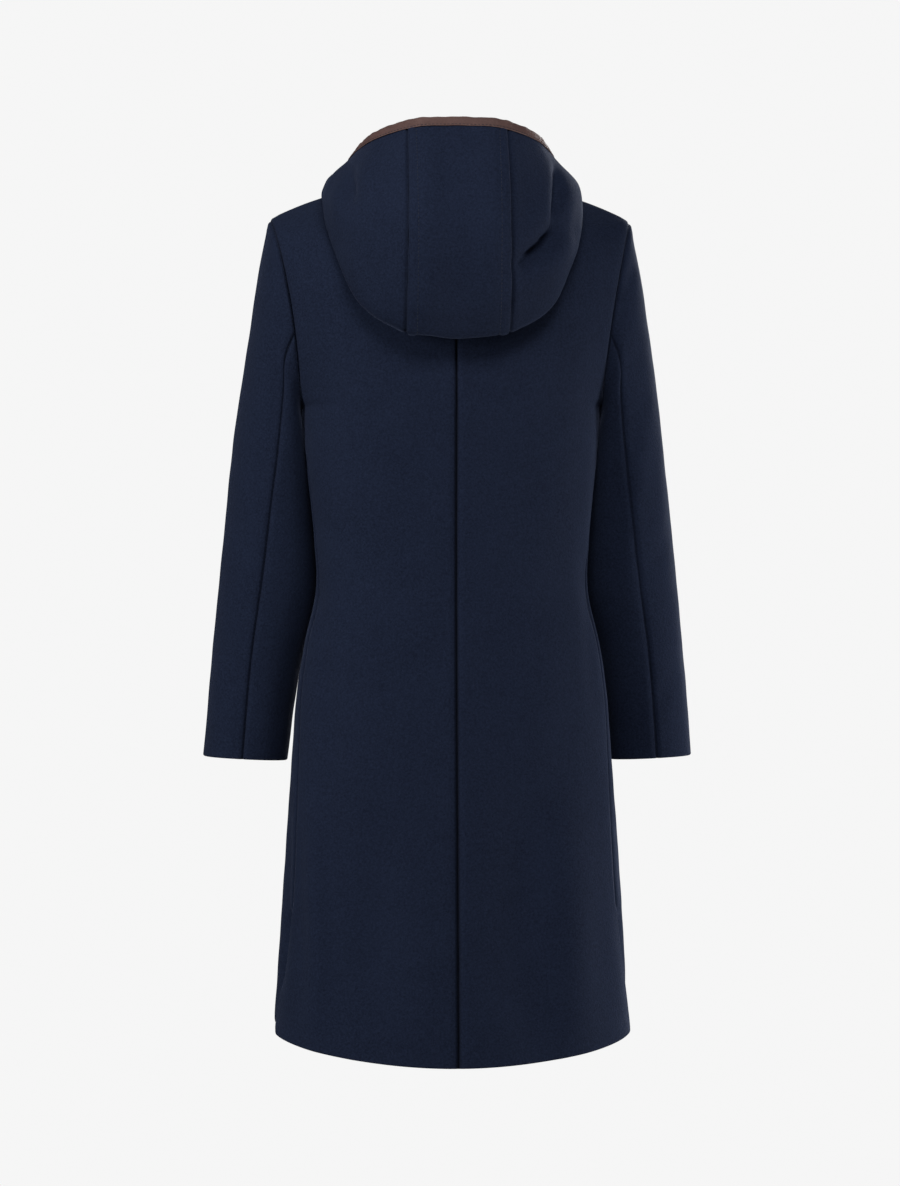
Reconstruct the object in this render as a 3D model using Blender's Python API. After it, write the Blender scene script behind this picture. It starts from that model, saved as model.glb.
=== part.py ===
"""A knee-length duffle coat, filled out as if worn, hollow and open at neck, cuffs and hem.

Metres. +Z is up, the fronts face -Y and the wearer's left is +X. The origin is the middle of the neck at the
height of the shoulder seams' neck ends, where the wearer carries it. Cloth is a wall built on middle surfaces:
rows of points run round each panel, from section tables whose rows are levels of the coat.
"""

from math import cos, pi, radians, sin, sqrt

import bmesh
import bpy
import numpy as np
from mathutils import Vector
from mathutils.bvhtree import BVHTree

# Driving sizes
CLOTH = 0.0025
HALF_SEAM_GAP = 0.0002
FOLDED_SEAM = 3  # a seam that its cloth folds back over stands this many times further off
LAYER_GAP = 0.0008
SHOULDER_HALF = 0.205
SHOULDER_DROP = 0.040
NECK_SHARE = 0.4
FRONT_OVERLAP = 0.045
LIFT_REACH = (0.075, 0.110)
LIFT_HEIGHTS = (-0.030, -0.060)  # no lift above the first, the whole of it below the second
OVERLAP_TOP_DROP = 0.12  # how much lower the overlap's neck edge starts, in yoke levels
CORNER_DROP = 0.05  # and the same for the corner of the front that lies on top
SLOPE_LEVELS = 3  # the levels over which the straight shoulder slope eases into level rounds
SQUARENESS = 0.05
HEM_CORNER = 0.017
VENT_SPREAD = 0.0035
BINDING_DEPTH = 0.010
LEATHER = 0.0012

# Armhole: an oval loop that leans, drawn in behind and more in front
ARMHOLE_LOW = (0.170, 0.0, -0.2565)
ARMHOLE_HALF_DEPTH = 0.060
ARMHOLE_HOLLOW = {"back": 0.006, "front": 0.013}
ARMHOLE_STEPS = (0, 10, 22, 38, 57, 80, 103, 130, 155, 180)  # degrees from the shoulder tip round to the underarm
SLEEVE_SEAM_STEP = 6

# Yoke levels, from the shoulder ridge to the underarm: centre line's depth and height, and the turn at the armhole
BACK_YOKE = (  # centre_y, centre_z, turn
    (0.000, 0.022, 8),
    (0.030, 0.012, 11),
    (0.058, -0.012, 15),
    (0.089, -0.045, 25),
    (0.109, -0.085, 33),
    (0.119, -0.130, 41),
    (0.1225, -0.175, 50),
    (0.1225, -0.217, 62),
    (0.122, -0.248, 76),
    (0.1215, -0.262, 90),
)
FRONT_YOKE = (
    (0.000, 0.022, 8),
    (-0.024, 0.013, 11),
    (-0.046, -0.010, 15),
    (-0.073, -0.045, 25),
    (-0.096, -0.088, 33),
    (-0.114, -0.130, 41),
    (-0.126, -0.175, 50),
    (-0.132, -0.217, 62),
    (-0.134, -0.248, 76),
    (-0.135, -0.262, 90),
)
BACK_NECK_LEVEL = 2.3  # where the neckline crosses the centre line, in yoke levels
FRONT_NECK_LEVEL = 3.95

# Body levels below the underarm
BODY_LEVELS = (  # back_z, side_z, front_z, half_width, back_y, front_y, side_y
    (-0.298, -0.295, -0.298, 0.1655, 0.1195, -0.1345, 0.018),
    (-0.348, -0.346, -0.348, 0.1595, 0.1170, -0.1325, 0.029),
    (-0.402, -0.400, -0.402, 0.1540, 0.1155, -0.1305, 0.034),
    (-0.461, -0.459, -0.461, 0.1520, 0.1165, -0.1300, 0.036),
    (-0.523, -0.521, -0.523, 0.1655, 0.1210, -0.1330, 0.036),
    (-0.583, -0.580, -0.583, 0.1744, 0.1265, -0.1375, 0.031),
    (-0.652, -0.647, -0.652, 0.1790, 0.1325, -0.1430, 0.033),
    (-0.735, -0.728, -0.734, 0.1845, 0.1395, -0.1495, 0.035),
    (-0.824, -0.815, -0.822, 0.1905, 0.1465, -0.1560, 0.037),
    (-0.900, -0.887, -0.897, 0.1955, 0.1525, -0.1610, 0.039),
    (-0.984, -0.956, -0.972, 0.2005, 0.1590, -0.1660, 0.041),
)
# Where the side seam lies at each of these levels: the share of the back's curve that it ends at
SEAM_SHARES = (0.98, 0.95, 0.92, 0.89, 0.86, 0.83, 0.80, 0.77, 0.745, 0.775, 0.84)
VENT_TOP = len(ARMHOLE_STEPS) - 1 + 9  # row at which the side seams open

# Sleeve rings below the armhole: outer and inner points, and depth
SLEEVE_RINGS = (  # outer_x, outer_z, inner_x, inner_z, middle_y, half_depth, back_seam, front_seam
    (0.2150, -0.090, 0.1738, -0.268, -0.006, 0.0630, 101, 104),
    (0.2262, -0.160, 0.1676, -0.297, -0.015, 0.0650, 98, 106),
    (0.2385, -0.245, 0.1598, -0.338, -0.022, 0.0655, 93, 108),
    (0.2498, -0.337, 0.1530, -0.394, -0.028, 0.0650, 87, 109),
    (0.2596, -0.430, 0.1500, -0.459, -0.031, 0.0630, 81, 108),
    (0.2682, -0.520, 0.1680, -0.535, -0.036, 0.0590, 82, 106),
    (0.2746, -0.588, 0.1785, -0.597, -0.040, 0.0560, 84, 103),
    (0.2800, -0.649, 0.1858, -0.654, -0.043, 0.0525, 86, 100),
)

# Hood, by place along the neckline from centre back (0) to centre front (16)
HOOD_PLACES = (0, 4, 6, 8, 10, 12, 14, 16)
HOOD_STAND = (0.028, 0.026, 0.022, 0.018, 0.016, 0.013, 0.010, 0.006)  # how far it stands up from its seam
HOOD_STAND_LEAN = 0.25
HOOD_CLEARANCE = 0.0080
HOOD_FRONT_GAP = 0.0015
HOOD_FOLD = (
    (0.000, 0.150, -0.1815),
    (0.057, 0.147, -0.1780),
    (0.108, 0.126, -0.1420),
    (0.141, 0.075, -0.0560),
    (0.143, 0.000, -0.0030),
    (0.126, -0.054, -0.0250),
    (0.080, -0.096, -0.0560),
    (0.000, -0.106, -0.0760),
)
HOOD_BELLY = (
    (0.000, 0.187, -0.070),
    (0.057, 0.182, -0.068),
    (0.107, 0.142, -0.050),
    (0.140, 0.070, -0.012),
    (0.135, 0.000, 0.008),
    (0.120, -0.056, -0.010),
    (0.077, -0.096, -0.044),
    (0.000, -0.107, -0.070),
)
HOOD_RIM = (
    (0.000, 0.140, 0.0590),
    (0.055, 0.133, 0.0555),
    (0.088, 0.102, 0.0470),
    (0.107, 0.050, 0.0340),
    (0.107, -0.004, 0.0200),
    (0.094, -0.052, 0.0020),
    (0.062, -0.088, -0.0290),
    (0.000, -0.105, -0.0610),
)
HOOD_SEAM_PLACE = 4
HOOD_STEPS = (1, 2, 3, 3, 2)  # rows from the neck seam to the stand, halfway down, the fold, the belly and the rim

# Fastenings, down the centre front
TOGGLE_HEIGHTS = (-0.150, -0.285, -0.420, -0.555)
TOGGLE_LENGTH = 0.052
TOGGLE_RADIUS = 0.0072
CORD_RADIUS = 0.0019
LOOP_HALF = 0.0075
TIE_HALF = 0.0035
STEM_X = 0.062
PATCH_RIGHT_X = -0.052
PATCH_LEFT_X = 0.118
PATCH_SIZE = (0.034, 0.036)


def clear_scene():
    for item in list(bpy.data.objects):
        bpy.data.objects.remove(item, do_unlink=True)


def finish_of(name, color, roughness):
    material = bpy.data.materials.new(name)
    material.use_nodes = True
    shader = material.node_tree.nodes["Principled BSDF"]
    shader.inputs["Base Color"].default_value = (*color, 1)
    shader.inputs["Roughness"].default_value = roughness
    return material


def smooth_rows(keys, values, at):
    """Values between the rows of a table, on one smooth curve through all of them."""
    keys, values = np.asarray(keys, float), np.asarray(values, float)
    slopes = np.gradient(values, keys, axis=0)
    i = min(max(int(np.searchsorted(keys, at, side="right")) - 1, 0), len(keys) - 2)
    step = keys[i + 1] - keys[i]
    t = (at - keys[i]) / step
    return (
        values[i] * (2 * t**3 - 3 * t**2 + 1)
        + slopes[i] * step * (t**3 - 2 * t**2 + t)
        + values[i + 1] * (3 * t**2 - 2 * t**3)
        + slopes[i + 1] * step * (t**3 - t**2)
    )


def armhole(degrees, side):
    """The middle of the cloth on the armhole, this far round from the shoulder tip; side is back or front."""
    a = radians(degrees)
    low_x, _, low_z = ARMHOLE_LOW
    facing = 1 if side == "back" else -1
    x = (SHOULDER_HALF + low_x) / 2 + (SHOULDER_HALF - low_x) / 2 * cos(a)
    z = (low_z - SHOULDER_DROP) / 2 - (low_z + SHOULDER_DROP) / 2 * cos(a)
    return np.array([x - ARMHOLE_HOLLOW[side] * sin(a) ** 2, facing * ARMHOLE_HALF_DEPTH * sin(a), z])


def level_point(share, centre, edge, turn, straight=0):
    """A point on a level curve that leaves the centre line square and has turned this far at its edge."""
    end, a = radians(turn), radians(turn) * abs(share)
    swell, end_swell = 1 + SQUARENESS * sin(2 * a) ** 2, 1 + SQUARENESS * sin(2 * end) ** 2
    across = sin(a) * swell / (sin(end) * end_swell)
    deep = (cos(a) * swell - cos(end) * end_swell) / (1 - cos(end) * end_swell)
    slope = 0.75 * abs(share) + 0.25 * abs(share) ** 5
    fall = straight * slope + (1 - straight) * sin(share * pi / 2) ** 2
    return np.array([
        edge[0] * across * (1 if share >= 0 else -1),
        edge[1] + (centre[0] - edge[1]) * deep,
        centre[1] + (edge[2] - centre[1]) * fall,
    ])


def levels_of(side):
    """(centre, edge, turn, straightness) of every level of one side of the coat, from the shoulder ridge to the hem."""
    yoke = BACK_YOKE if side == "back" else FRONT_YOKE
    found = [
        ((y, z), armhole(step, side), turn, max(1 - level / SLOPE_LEVELS, 0))
        for level, ((y, z, turn), step) in enumerate(zip(yoke, ARMHOLE_STEPS))
    ]
    for back_z, side_z, front_z, half_width, back_y, front_y, side_y in BODY_LEVELS:
        centre = (back_y, back_z) if side == "back" else (front_y, front_z)
        found.append((centre, np.array([half_width, side_y, side_z]), 90, 0))
    return found


def hem_rows():
    """The last rows, where the hem's corner rounds: (rise above the hem, how far the edge draws in)."""
    return [(HEM_CORNER * (1 - sin(radians(a))), HEM_CORNER * (1 - cos(radians(a)))) for a in (0, 35, 62, 90)]


def shares(front):
    """The columns: shares of a level from the centre line to the side, closer together at the neck."""
    neck = [NECK_SHARE * k / 8 for k in range(9)]
    rest = [NECK_SHARE + (1 - NECK_SHARE) * k / 6 for k in range(1, 7)]
    return (["edge", "half"] if front else []) + neck + rest


def side_point(side, share, level):
    """A point on a level below the underarm: the back ends at the side seam and the front runs round to it."""
    seam = SEAM_SHARES[level - len(ARMHOLE_STEPS)]
    end = seam if side == "back" else 2 - seam
    if share > NECK_SHARE:
        share = NECK_SHARE + (share - NECK_SHARE) * (end - NECK_SHARE) / (1 - NECK_SHARE)
    if share > 1:
        return level_point(2 - share, *levels_of("back")[level])
    return level_point(share, *levels_of(side)[level])


def body_panel(side, lifted=False):
    """The wearer's left back or front: an array of points, rows by columns, on the middle of the cloth."""
    levels = levels_of(side)
    keys = list(range(len(levels)))
    last_yoke = len(ARMHOLE_STEPS) - 1
    neck_level = BACK_NECK_LEVEL if side == "back" else FRONT_NECK_LEVEL
    hem = len(levels) - 1
    corner = hem_rows()
    rows = [("yoke", j) for j in range(last_yoke + 1)] + [("body", j) for j in range(last_yoke + 1, hem)]
    rows += [("hem", k) for k in range(len(corner))]
    panel = []
    for kind, j in rows:
        line = []
        for share in shares(side == "front"):
            named = share if isinstance(share, str) else None
            level = hem if kind == "hem" else j
            _, edge, turn, _ = levels[level]
            if named:
                reach = FRONT_OVERLAP * (1 if named == "edge" else 0.5)
                a = radians(turn)
                share = -np.arcsin(min(reach * sin(a) / edge[0], 1)) / a
            start = neck_level * sqrt(max(1 - (abs(share) / NECK_SHARE) ** 2, 0))
            start += OVERLAP_TOP_DROP if named else CORNER_DROP if lifted and share == 0 else 0
            if kind == "yoke":
                at = start + (last_yoke - start) * j / last_yoke
                each = [level_point(share, *level_parts) for level_parts in levels[: last_yoke + 2]]
                over = 2 * each[0] - each[1]
                over[2] = each[1][2]
                point = smooth_rows([-1] + keys[: last_yoke + 2], [over] + each, at)
            elif kind == "body":
                point = side_point(side, drawn_share(share, j, edge, 0), j)
            else:
                rise, inset = corner[j]
                point = side_point(side, drawn_share(share, hem, edge, inset), hem)
                above = side_point(side, share, hem - 1)
                point = point + (above - point) * rise / np.linalg.norm(above - point)
            line.append(point)
        panel.append(line)
    panel = np.array(panel)
    if lifted:
        near, far = LIFT_REACH
        high, low = LIFT_HEIGHTS
        lift = eased((far - panel[:, :, 0]) / (far - near)) * eased((high - panel[:, :, 2]) / (high - low))
        panel[:, :, 1] -= (CLOTH + LAYER_GAP) * lift
    return panel


def eased(t):
    t = np.clip(t, 0, 1)
    return t * t * (3 - 2 * t)


def drawn_share(share, level, edge, inset):
    """The share, drawn in from the side where the vent is open and where the hem's corner rounds."""
    opened = max(level - VENT_TOP, 0) / max(len(ARMHOLE_STEPS) + len(BODY_LEVELS) - 1 - VENT_TOP, 1)
    quarter = 0.5 * pi * edge[0] * 0.9
    if share <= NECK_SHARE:
        return share
    reach = (share - NECK_SHARE) / (1 - NECK_SHARE)
    return share - reach**2 * (VENT_SPREAD * opened + inset) / quarter


def ring_point(degrees, ring):
    outer_x, outer_z, inner_x, inner_z, middle_y, half_depth = ring[:6]
    a = radians(degrees)
    swell = 1 + SQUARENESS * sin(2 * a) ** 2
    return np.array([
        (outer_x + inner_x) / 2 + (outer_x - inner_x) / 2 * cos(a) * swell,
        middle_y + half_depth * sin(a) * swell,
        (outer_z + inner_z) / 2 + (outer_z - inner_z) / 2 * cos(a),
    ])


def sleeve_panel(part):
    """The wearer's left sleeve, top or under: rows run from the armhole to the cuff, columns from back to front."""
    seam = ARMHOLE_STEPS[SLEEVE_SEAM_STEP]
    if part == "top":
        steps = [d for d in ARMHOLE_STEPS if d <= seam]
        columns = [("back", d) for d in reversed(steps)] + [("front", d) for d in steps[1:]]
    else:
        steps = [d for d in ARMHOLE_STEPS if d >= seam]
        columns = [("front", d) for d in reversed(steps[:-1])][::-1] + [("back", 180)]
        columns += [("back", d) for d in reversed(steps[:-1])]
    panel = [[armhole(d, side) for side, d in columns]]
    for ring in SLEEVE_RINGS:
        seams = {"back": ring[6], "front": ring[7]}
        line = []
        for side, d in columns:
            if part == "top":
                a = d * seams[side] / seam
            else:
                a = 180 - (180 - d) * (180 - seams[side]) / (180 - seam)
            line.append(ring_point(a if side == "back" else -a, ring))
        panel.append(line)
    return np.array(panel)


def section_curve(points, counts, last):
    """Points along a smooth curve through these, so many in each stretch, and one this far before the end."""
    lengths = np.concatenate([[0], np.cumsum(np.linalg.norm(np.diff(points, axis=0), axis=1))])
    end = lengths[-1] - min(last, (lengths[-1] - lengths[-2]) / 2)
    stops = np.append(lengths[:-1], end)
    at = [a + (b - a) * k / n for a, b, n in zip(stops, stops[1:], counts) for k in range(n)]
    return np.array([smooth_rows(lengths, points, s) for s in at + [end, lengths[-1]]])


def hood_grid(neck, body_tree, side):
    """One half of the hood: a column for each point of the neckline, from its seam up, over, down and up to the rim."""
    columns = []
    for place, start in enumerate(neck):
        rise = smooth_rows(HOOD_PLACES, HOOD_STAND, place)
        out = np.array([start[0], start[1], 0])
        stand = start + rise * (np.array([0, 0, 1]) + HOOD_STAND_LEAN * out / np.linalg.norm(out))
        fold, belly, rim = (
            smooth_rows(HOOD_PLACES, table, place) * np.array([side, 1, 1])
            for table in (HOOD_FOLD, HOOD_BELLY, HOOD_RIM)
        )
        under = (stand + fold) / 2
        column = section_curve(np.array([start, stand, under, fold, belly, rim]), HOOD_STEPS, BINDING_DEPTH)
        for k in range(1, len(column)):
            column[k] = held_off(column[k], body_tree, CLOTH + HOOD_CLEARANCE * min(k, 3) / 3)
        columns.append(column)
    columns[-1][1:, 0] += side * HOOD_FRONT_GAP
    return np.array(columns).transpose(1, 0, 2)


def held_off(point, tree, clearance):
    """The point, moved out where it is nearer to the coat's outer side than the clearance."""
    near, normal, _, _ = tree.find_nearest(Vector(point))
    height = (Vector(point) - near).dot(normal)
    if height < clearance and (Vector(point) - near).length < 0.05:
        return np.array(near + normal * clearance)
    return point


def normals_of(grid):
    """The direction square to a grid of points at each of them, out from the coat."""
    down, across = np.gradient(grid, axis=0), np.gradient(grid, axis=1)
    normals = np.cross(across, down)
    return normals / np.maximum(np.linalg.norm(normals, axis=2, keepdims=True), 1e-12)


def mirrored(grid):
    return grid[:, ::-1] * np.array([-1, 1, 1])


def tree_of(grids):
    """A search tree over panels, facing out of the coat."""
    points, faces = [], []
    for grid in grids:
        rows, columns = grid.shape[:2]
        first = len(points)
        points += [Vector(p) for p in grid.reshape(-1, 3)]
        for i in range(rows - 1):
            for j in range(columns - 1):
                a = first + i * columns + j
                faces += halved([a, a + 1, a + columns + 1, a + columns], points)
    return BVHTree.FromPolygons(points, faces)


def join_seams(panels):
    """Where panels share points, gives them one direction for their thickness and draws each back from the seam."""
    shared = {}
    for name, (grid, normals) in panels.items():
        for i in range(grid.shape[0]):
            for j in range(grid.shape[1]):
                if i in (0, grid.shape[0] - 1) or j in (0, grid.shape[1] - 1):
                    shared.setdefault(tuple(np.round(grid[i, j], 6) + 0.0), []).append((name, i, j))
    moved = []
    for places in shared.values():
        if len({name for name, _, _ in places}) < 2:
            continue
        total = sum(panels[name][1][i, j] for name, i, j in places)
        total = total / np.linalg.norm(total)
        for name, i, j in places:
            grid, normals = panels[name]
            rows, columns = grid.shape[:2]
            inward = np.zeros(3)
            if i in (0, rows - 1):
                step = grid[1 if i == 0 else rows - 2, j] - grid[i, j]
                inward += step / np.linalg.norm(step) * (FOLDED_SEAM if "hood" in name else 1)
            if j in (0, columns - 1):
                step = grid[i, 1 if j == 0 else columns - 2] - grid[i, j]
                inward += step / np.linalg.norm(step)
            moved.append((name, i, j, inward * HALF_SEAM_GAP, total / max(total.dot(normals[i, j]), 0.6)))
    for name, i, j, step, normal in moved:
        panels[name][0][i, j] += step
        panels[name][1][i, j] = normal


def halved(corners, points):
    """A four-sided face as two triangles, cut along its shorter diagonal."""
    a, b, c, d = corners
    if (points[a] - points[c]).length <= (points[b] - points[d]).length:
        return [(a, b, c), (a, c, d)]
    return [(a, b, d), (b, c, d)]


def wall(name, grid, normals, thickness, material):
    """A closed wall of this thickness, centred on the grid."""
    rows, columns = grid.shape[:2]
    mesh = bmesh.new()
    skins = [
        [[mesh.verts.new(p) for p in line] for line in grid + normals * offset]
        for offset in (thickness / 2, -thickness / 2)
    ]
    for skin, out in zip(skins, (True, False)):
        for i in range(rows - 1):
            for j in range(columns - 1):
                corners = [skin[i][j], skin[i][j + 1], skin[i + 1][j + 1], skin[i + 1][j]]
                middles = [Vector(grid[k, l]) for k, l in ((i, j), (i, j + 1), (i + 1, j + 1), (i + 1, j))]
                for face in halved([0, 1, 2, 3], middles):
                    face = [corners[k] for k in face]
                    mesh.faces.new(face if out else face[::-1])
    loop = [(i, 0) for i in range(rows)] + [(rows - 1, j) for j in range(1, columns)]
    loop += [(i, columns - 1) for i in range(rows - 2, -1, -1)] + [(0, j) for j in range(columns - 2, 0, -1)]
    for (i, j), (k, l) in zip(loop, loop[1:] + loop[:1]):
        mesh.faces.new((skins[0][k][l], skins[0][i][j], skins[1][i][j], skins[1][k][l]))
    return object_of(name, mesh, material)


def object_of(name, mesh, material):
    bmesh.ops.recalc_face_normals(mesh, faces=mesh.faces)
    bmesh.ops.triangulate(mesh, faces=mesh.faces)
    data = bpy.data.meshes.new(name)
    mesh.to_mesh(data)
    mesh.free()
    data.materials.append(material)
    data.shade_smooth()
    data.set_sharp_from_angle(angle=radians(40))
    item = bpy.data.objects.new(name, data)
    bpy.context.scene.collection.objects.link(item)
    return item


def swept(name, sections, material):
    """A closed bar through a row of sections with the same number of points."""
    mesh = bmesh.new()
    rings = [[mesh.verts.new(p) for p in section] for section in sections]
    count = len(rings[0])
    for first, second in zip(rings, rings[1:]):
        for k in range(count):
            corners = [first[k], first[(k + 1) % count], second[(k + 1) % count], second[k]]
            for face in halved([0, 1, 2, 3], [corner.co for corner in corners]):
                mesh.faces.new([corners[n] for n in face])
    mesh.faces.new(rings[0][::-1])
    mesh.faces.new(rings[-1])
    return object_of(name, mesh, material)


def bind_rim(name, edges, material):
    """The leather strip folded over the hood's rim, from its last two rows of points."""
    sections = []
    clear = CLOTH / 2 + HALF_SEAM_GAP * 2
    for foot, foot_out, rim, rim_out in edges:
        up = (rim - foot) / np.linalg.norm(rim - foot)
        top, shin = rim + up * HALF_SEAM_GAP * 2, foot + up * 0.001
        sections.append([
            shin + foot_out * clear,
            shin + foot_out * (clear + LEATHER),
            rim + rim_out * (clear + LEATHER),
            top + up * LEATHER + rim_out * clear * 0.6,
            top + up * LEATHER - rim_out * clear * 0.6,
            rim - rim_out * (clear + LEATHER),
            shin - foot_out * (clear + LEATHER),
            shin - foot_out * clear,
            top - rim_out * clear,
            top + rim_out * clear,
        ])
    return swept(name, sections, material)


def tube(name, path, radius, material, sides=6):
    """A round cord along a path that lies nearly flat on the fronts."""
    path = np.array(path)
    along = np.gradient(path, axis=0)
    along /= np.linalg.norm(along, axis=1, keepdims=True)
    across = np.cross(along, (0, 1, 0))
    across /= np.linalg.norm(across, axis=1, keepdims=True)
    rise = np.cross(across, along)
    angles = [2 * pi * k / sides for k in range(sides)]
    sections = [
        [p + radius * (cos(a) * s + sin(a) * r) for a in angles] for p, s, r in zip(path, across, rise)
    ]
    return swept(name, sections, material)


def front_surface(tree, x, z):
    """The point of the fronts' outer side at this x and height, and its direction."""
    hit, normal, _, _ = tree.ray_cast(Vector((x, -0.5, z)), Vector((0, 1, 0)))
    return np.array(hit) + np.array(normal) * CLOTH / 2, np.array(normal)


def patch(name, tree, x, z, point_side, material):
    """A leather patch whose plan is a square with one end drawn to a blunt point towards the toggle."""
    wide, tall = PATCH_SIZE
    rows, columns = 4, 6
    grid = np.empty((rows + 1, columns + 1, 3))
    normals = np.empty_like(grid)
    for i in range(rows + 1):
        for j in range(columns + 1):
            along = j / columns
            taper = 1 - 0.55 * (along if point_side > 0 else 1 - along) ** 1.5
            place_x = x + wide * (along - 0.5)
            place_z = z + tall * (0.5 - i / rows) * taper
            point, normal = front_surface(tree, place_x, place_z)
            grid[i, j] = point + normal * (LAYER_GAP + LEATHER / 2)
            normals[i, j] = normal
    return wall(name, grid, normals, LEATHER, material)


def hairpin(tree, from_x, to_x, z, half, heights):
    """A cord's path: out along one side, round its end and back; heights are off the cloth at its start and end."""
    facing = 1 if to_x > from_x else -1
    straight = [from_x + (to_x - facing * half - from_x) * k / 6 for k in range(7)]
    plan = [(x, half) for x in straight]
    plan += [(to_x - facing * half * (1 - sin(a)), half * cos(a)) for a in (pi * k / 6 for k in range(1, 6))]
    plan += [(x, -half) for x in reversed(straight)]
    path = []
    for x, rise in plan:
        point, normal = front_surface(tree, x, z + rise)
        t = (x - from_x) / (to_x - from_x)
        blend = min(max((t - 0.15) / 0.6, 0), 1)
        blend = blend * blend * (3 - 2 * blend)
        path.append(point + normal * (heights[0] + (heights[1] - heights[0]) * blend))
    return path


def toggle(name, tree, z, height, material):
    """A horn peg, thickest in the middle, that lies across the opening."""
    under = [STEM_X + TOGGLE_LENGTH / 2 * t for t in (-1, -0.5, 0, 0.5, 1)]
    centre = np.array([STEM_X, min(front_surface(tree, x, z)[0][1] for x in under) - height, z])
    sections = []
    for k in range(13):
        t = -1 + 2 * k / 12
        radius = TOGGLE_RADIUS * (0.62 + 0.38 * cos(t * pi / 2)) * (1 if abs(t) < 1 else 0.55)
        ring = [2 * pi * n / 12 for n in range(12)]
        sections.append([
            centre + np.array([TOGGLE_LENGTH / 2 * t, radius * cos(a), radius * sin(a)]) for a in ring
        ])
    return swept(name, sections, material)


def fasten(number, tree, z, leather, horn):
    """One toggle with its patches, its tie on the left front and the loop from the right front."""
    seat = LAYER_GAP * 2 + LEATHER + CORD_RADIUS
    over_tie = seat + 2 * CORD_RADIUS + 0.0006
    above = over_tie + CORD_RADIUS + TOGGLE_RADIUS + 0.0006
    patch(f"patch_right_{number}", tree, PATCH_RIGHT_X, z, 1, leather)
    patch(f"patch_left_{number}", tree, PATCH_LEFT_X, z, -1, leather)
    loop = hairpin(tree, PATCH_RIGHT_X, STEM_X + 0.012, z, LOOP_HALF, (seat, over_tie))
    tie = hairpin(tree, PATCH_LEFT_X, STEM_X - 0.004, z, TIE_HALF, (seat, seat))
    tube(f"loop_{number}", loop, CORD_RADIUS, leather)
    tube(f"tie_{number}", tie, CORD_RADIUS, leather)
    toggle(f"toggle_{number}", tree, z, above, horn)


def build():
    clear_scene()
    wool = finish_of("navy_wool", (0.012, 0.017, 0.036), 0.9)
    binding = finish_of("brown_leather", (0.13, 0.06, 0.05), 0.6)
    horn = finish_of("brown_horn", (0.05, 0.022, 0.012), 0.35)

    back, front, lifted = body_panel("back"), body_panel("front"), body_panel("front", lifted=True)
    top, under = sleeve_panel("top"), sleeve_panel("under")
    grids = {
        "back_left": back[:, ::-1],
        "back_right": mirrored(back[:, ::-1]),
        "front_left": front,
        "front_right": mirrored(lifted),
        "sleeve_left_top": top,
        "sleeve_left_under": under,
        "sleeve_right_top": mirrored(top),
        "sleeve_right_under": mirrored(under),
    }
    grids = {name: facing_out(name, grid) for name, grid in grids.items()}
    body_tree = tree_of([grids[name] for name in ("back_left", "back_right", "front_left", "front_right")])

    back_neck, front_necks = back[0, :9], {1: front[0, 2:11], -1: lifted[0, 2:11]}
    halves = {}
    for side, front_neck in front_necks.items():
        neck = np.concatenate([back_neck, front_neck[-2::-1]]) * np.array([side, 1, 1])
        halves[side] = hood_grid(neck, body_tree, side)
    left, right = halves[1], halves[-1]
    whole = facing_out("hood_centre", np.concatenate([right[:, :0:-1], left], axis=1))
    outward = normals_of(whole)
    middle = whole.shape[1] // 2
    seams = [middle - HOOD_SEAM_PLACE, middle + HOOD_SEAM_PLACE]
    first, last = ("left", "right") if whole[-1, 4, 0] > 0 else ("right", "left")
    grids[f"hood_side_{first}"] = whole[:, : seams[0] + 1]
    grids["hood_centre"] = whole[:, seams[0] : seams[1] + 1]
    grids[f"hood_side_{last}"] = whole[:, seams[1] :]
    rim = [
        (whole[-2, j], outward[-2, j], whole[-1, j], outward[-1, j]) for j in range(whole.shape[1])
    ]
    panels = {name: [grid.copy(), normals_of(grid)] for name, grid in grids.items()}
    join_seams(panels)
    for name, (grid, normals) in panels.items():
        wall(name, grid, normals, CLOTH, wool)
    bind_rim("hood_binding", rim, binding)
    for number, z in enumerate(TOGGLE_HEIGHTS, 1):
        fasten(number, body_tree, z, binding, horn)


def facing_out(name, grid):
    """The grid with its columns in the order that makes its outer side face out of the coat."""
    i, j = grid.shape[0] // 2, grid.shape[1] // 2
    normal = normals_of(grid)[i, j] if "hood" not in name else normals_of(grid)[-3, j]
    heart = {"sleeve_left": (0.21, -0.03), "sleeve_right": (-0.21, -0.03)}.get(name.rsplit("_", 1)[0], (0, 0))
    spot = grid[i, j] if "hood" not in name else grid[-3, j]
    away = np.array([spot[0] - heart[0], spot[1] - heart[1], 0])
    return grid if normal.dot(away) > 0 else grid[:, ::-1]


build()
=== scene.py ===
"""The looks of the duffle coat: every panel as a finely curved shell of navy melton with folds and seams,
with its stitches, leather binding, patches and cords, and horn toggles.

Metres, in the coat's own frame: +Z up, the fronts face -Y, the wearer's left is +X, origin at the neck.
"""

from math import cos, pi, radians, sin, sqrt

import bpy
import numpy as np
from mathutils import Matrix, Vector
from mathutils.bvhtree import BVHTree


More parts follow.
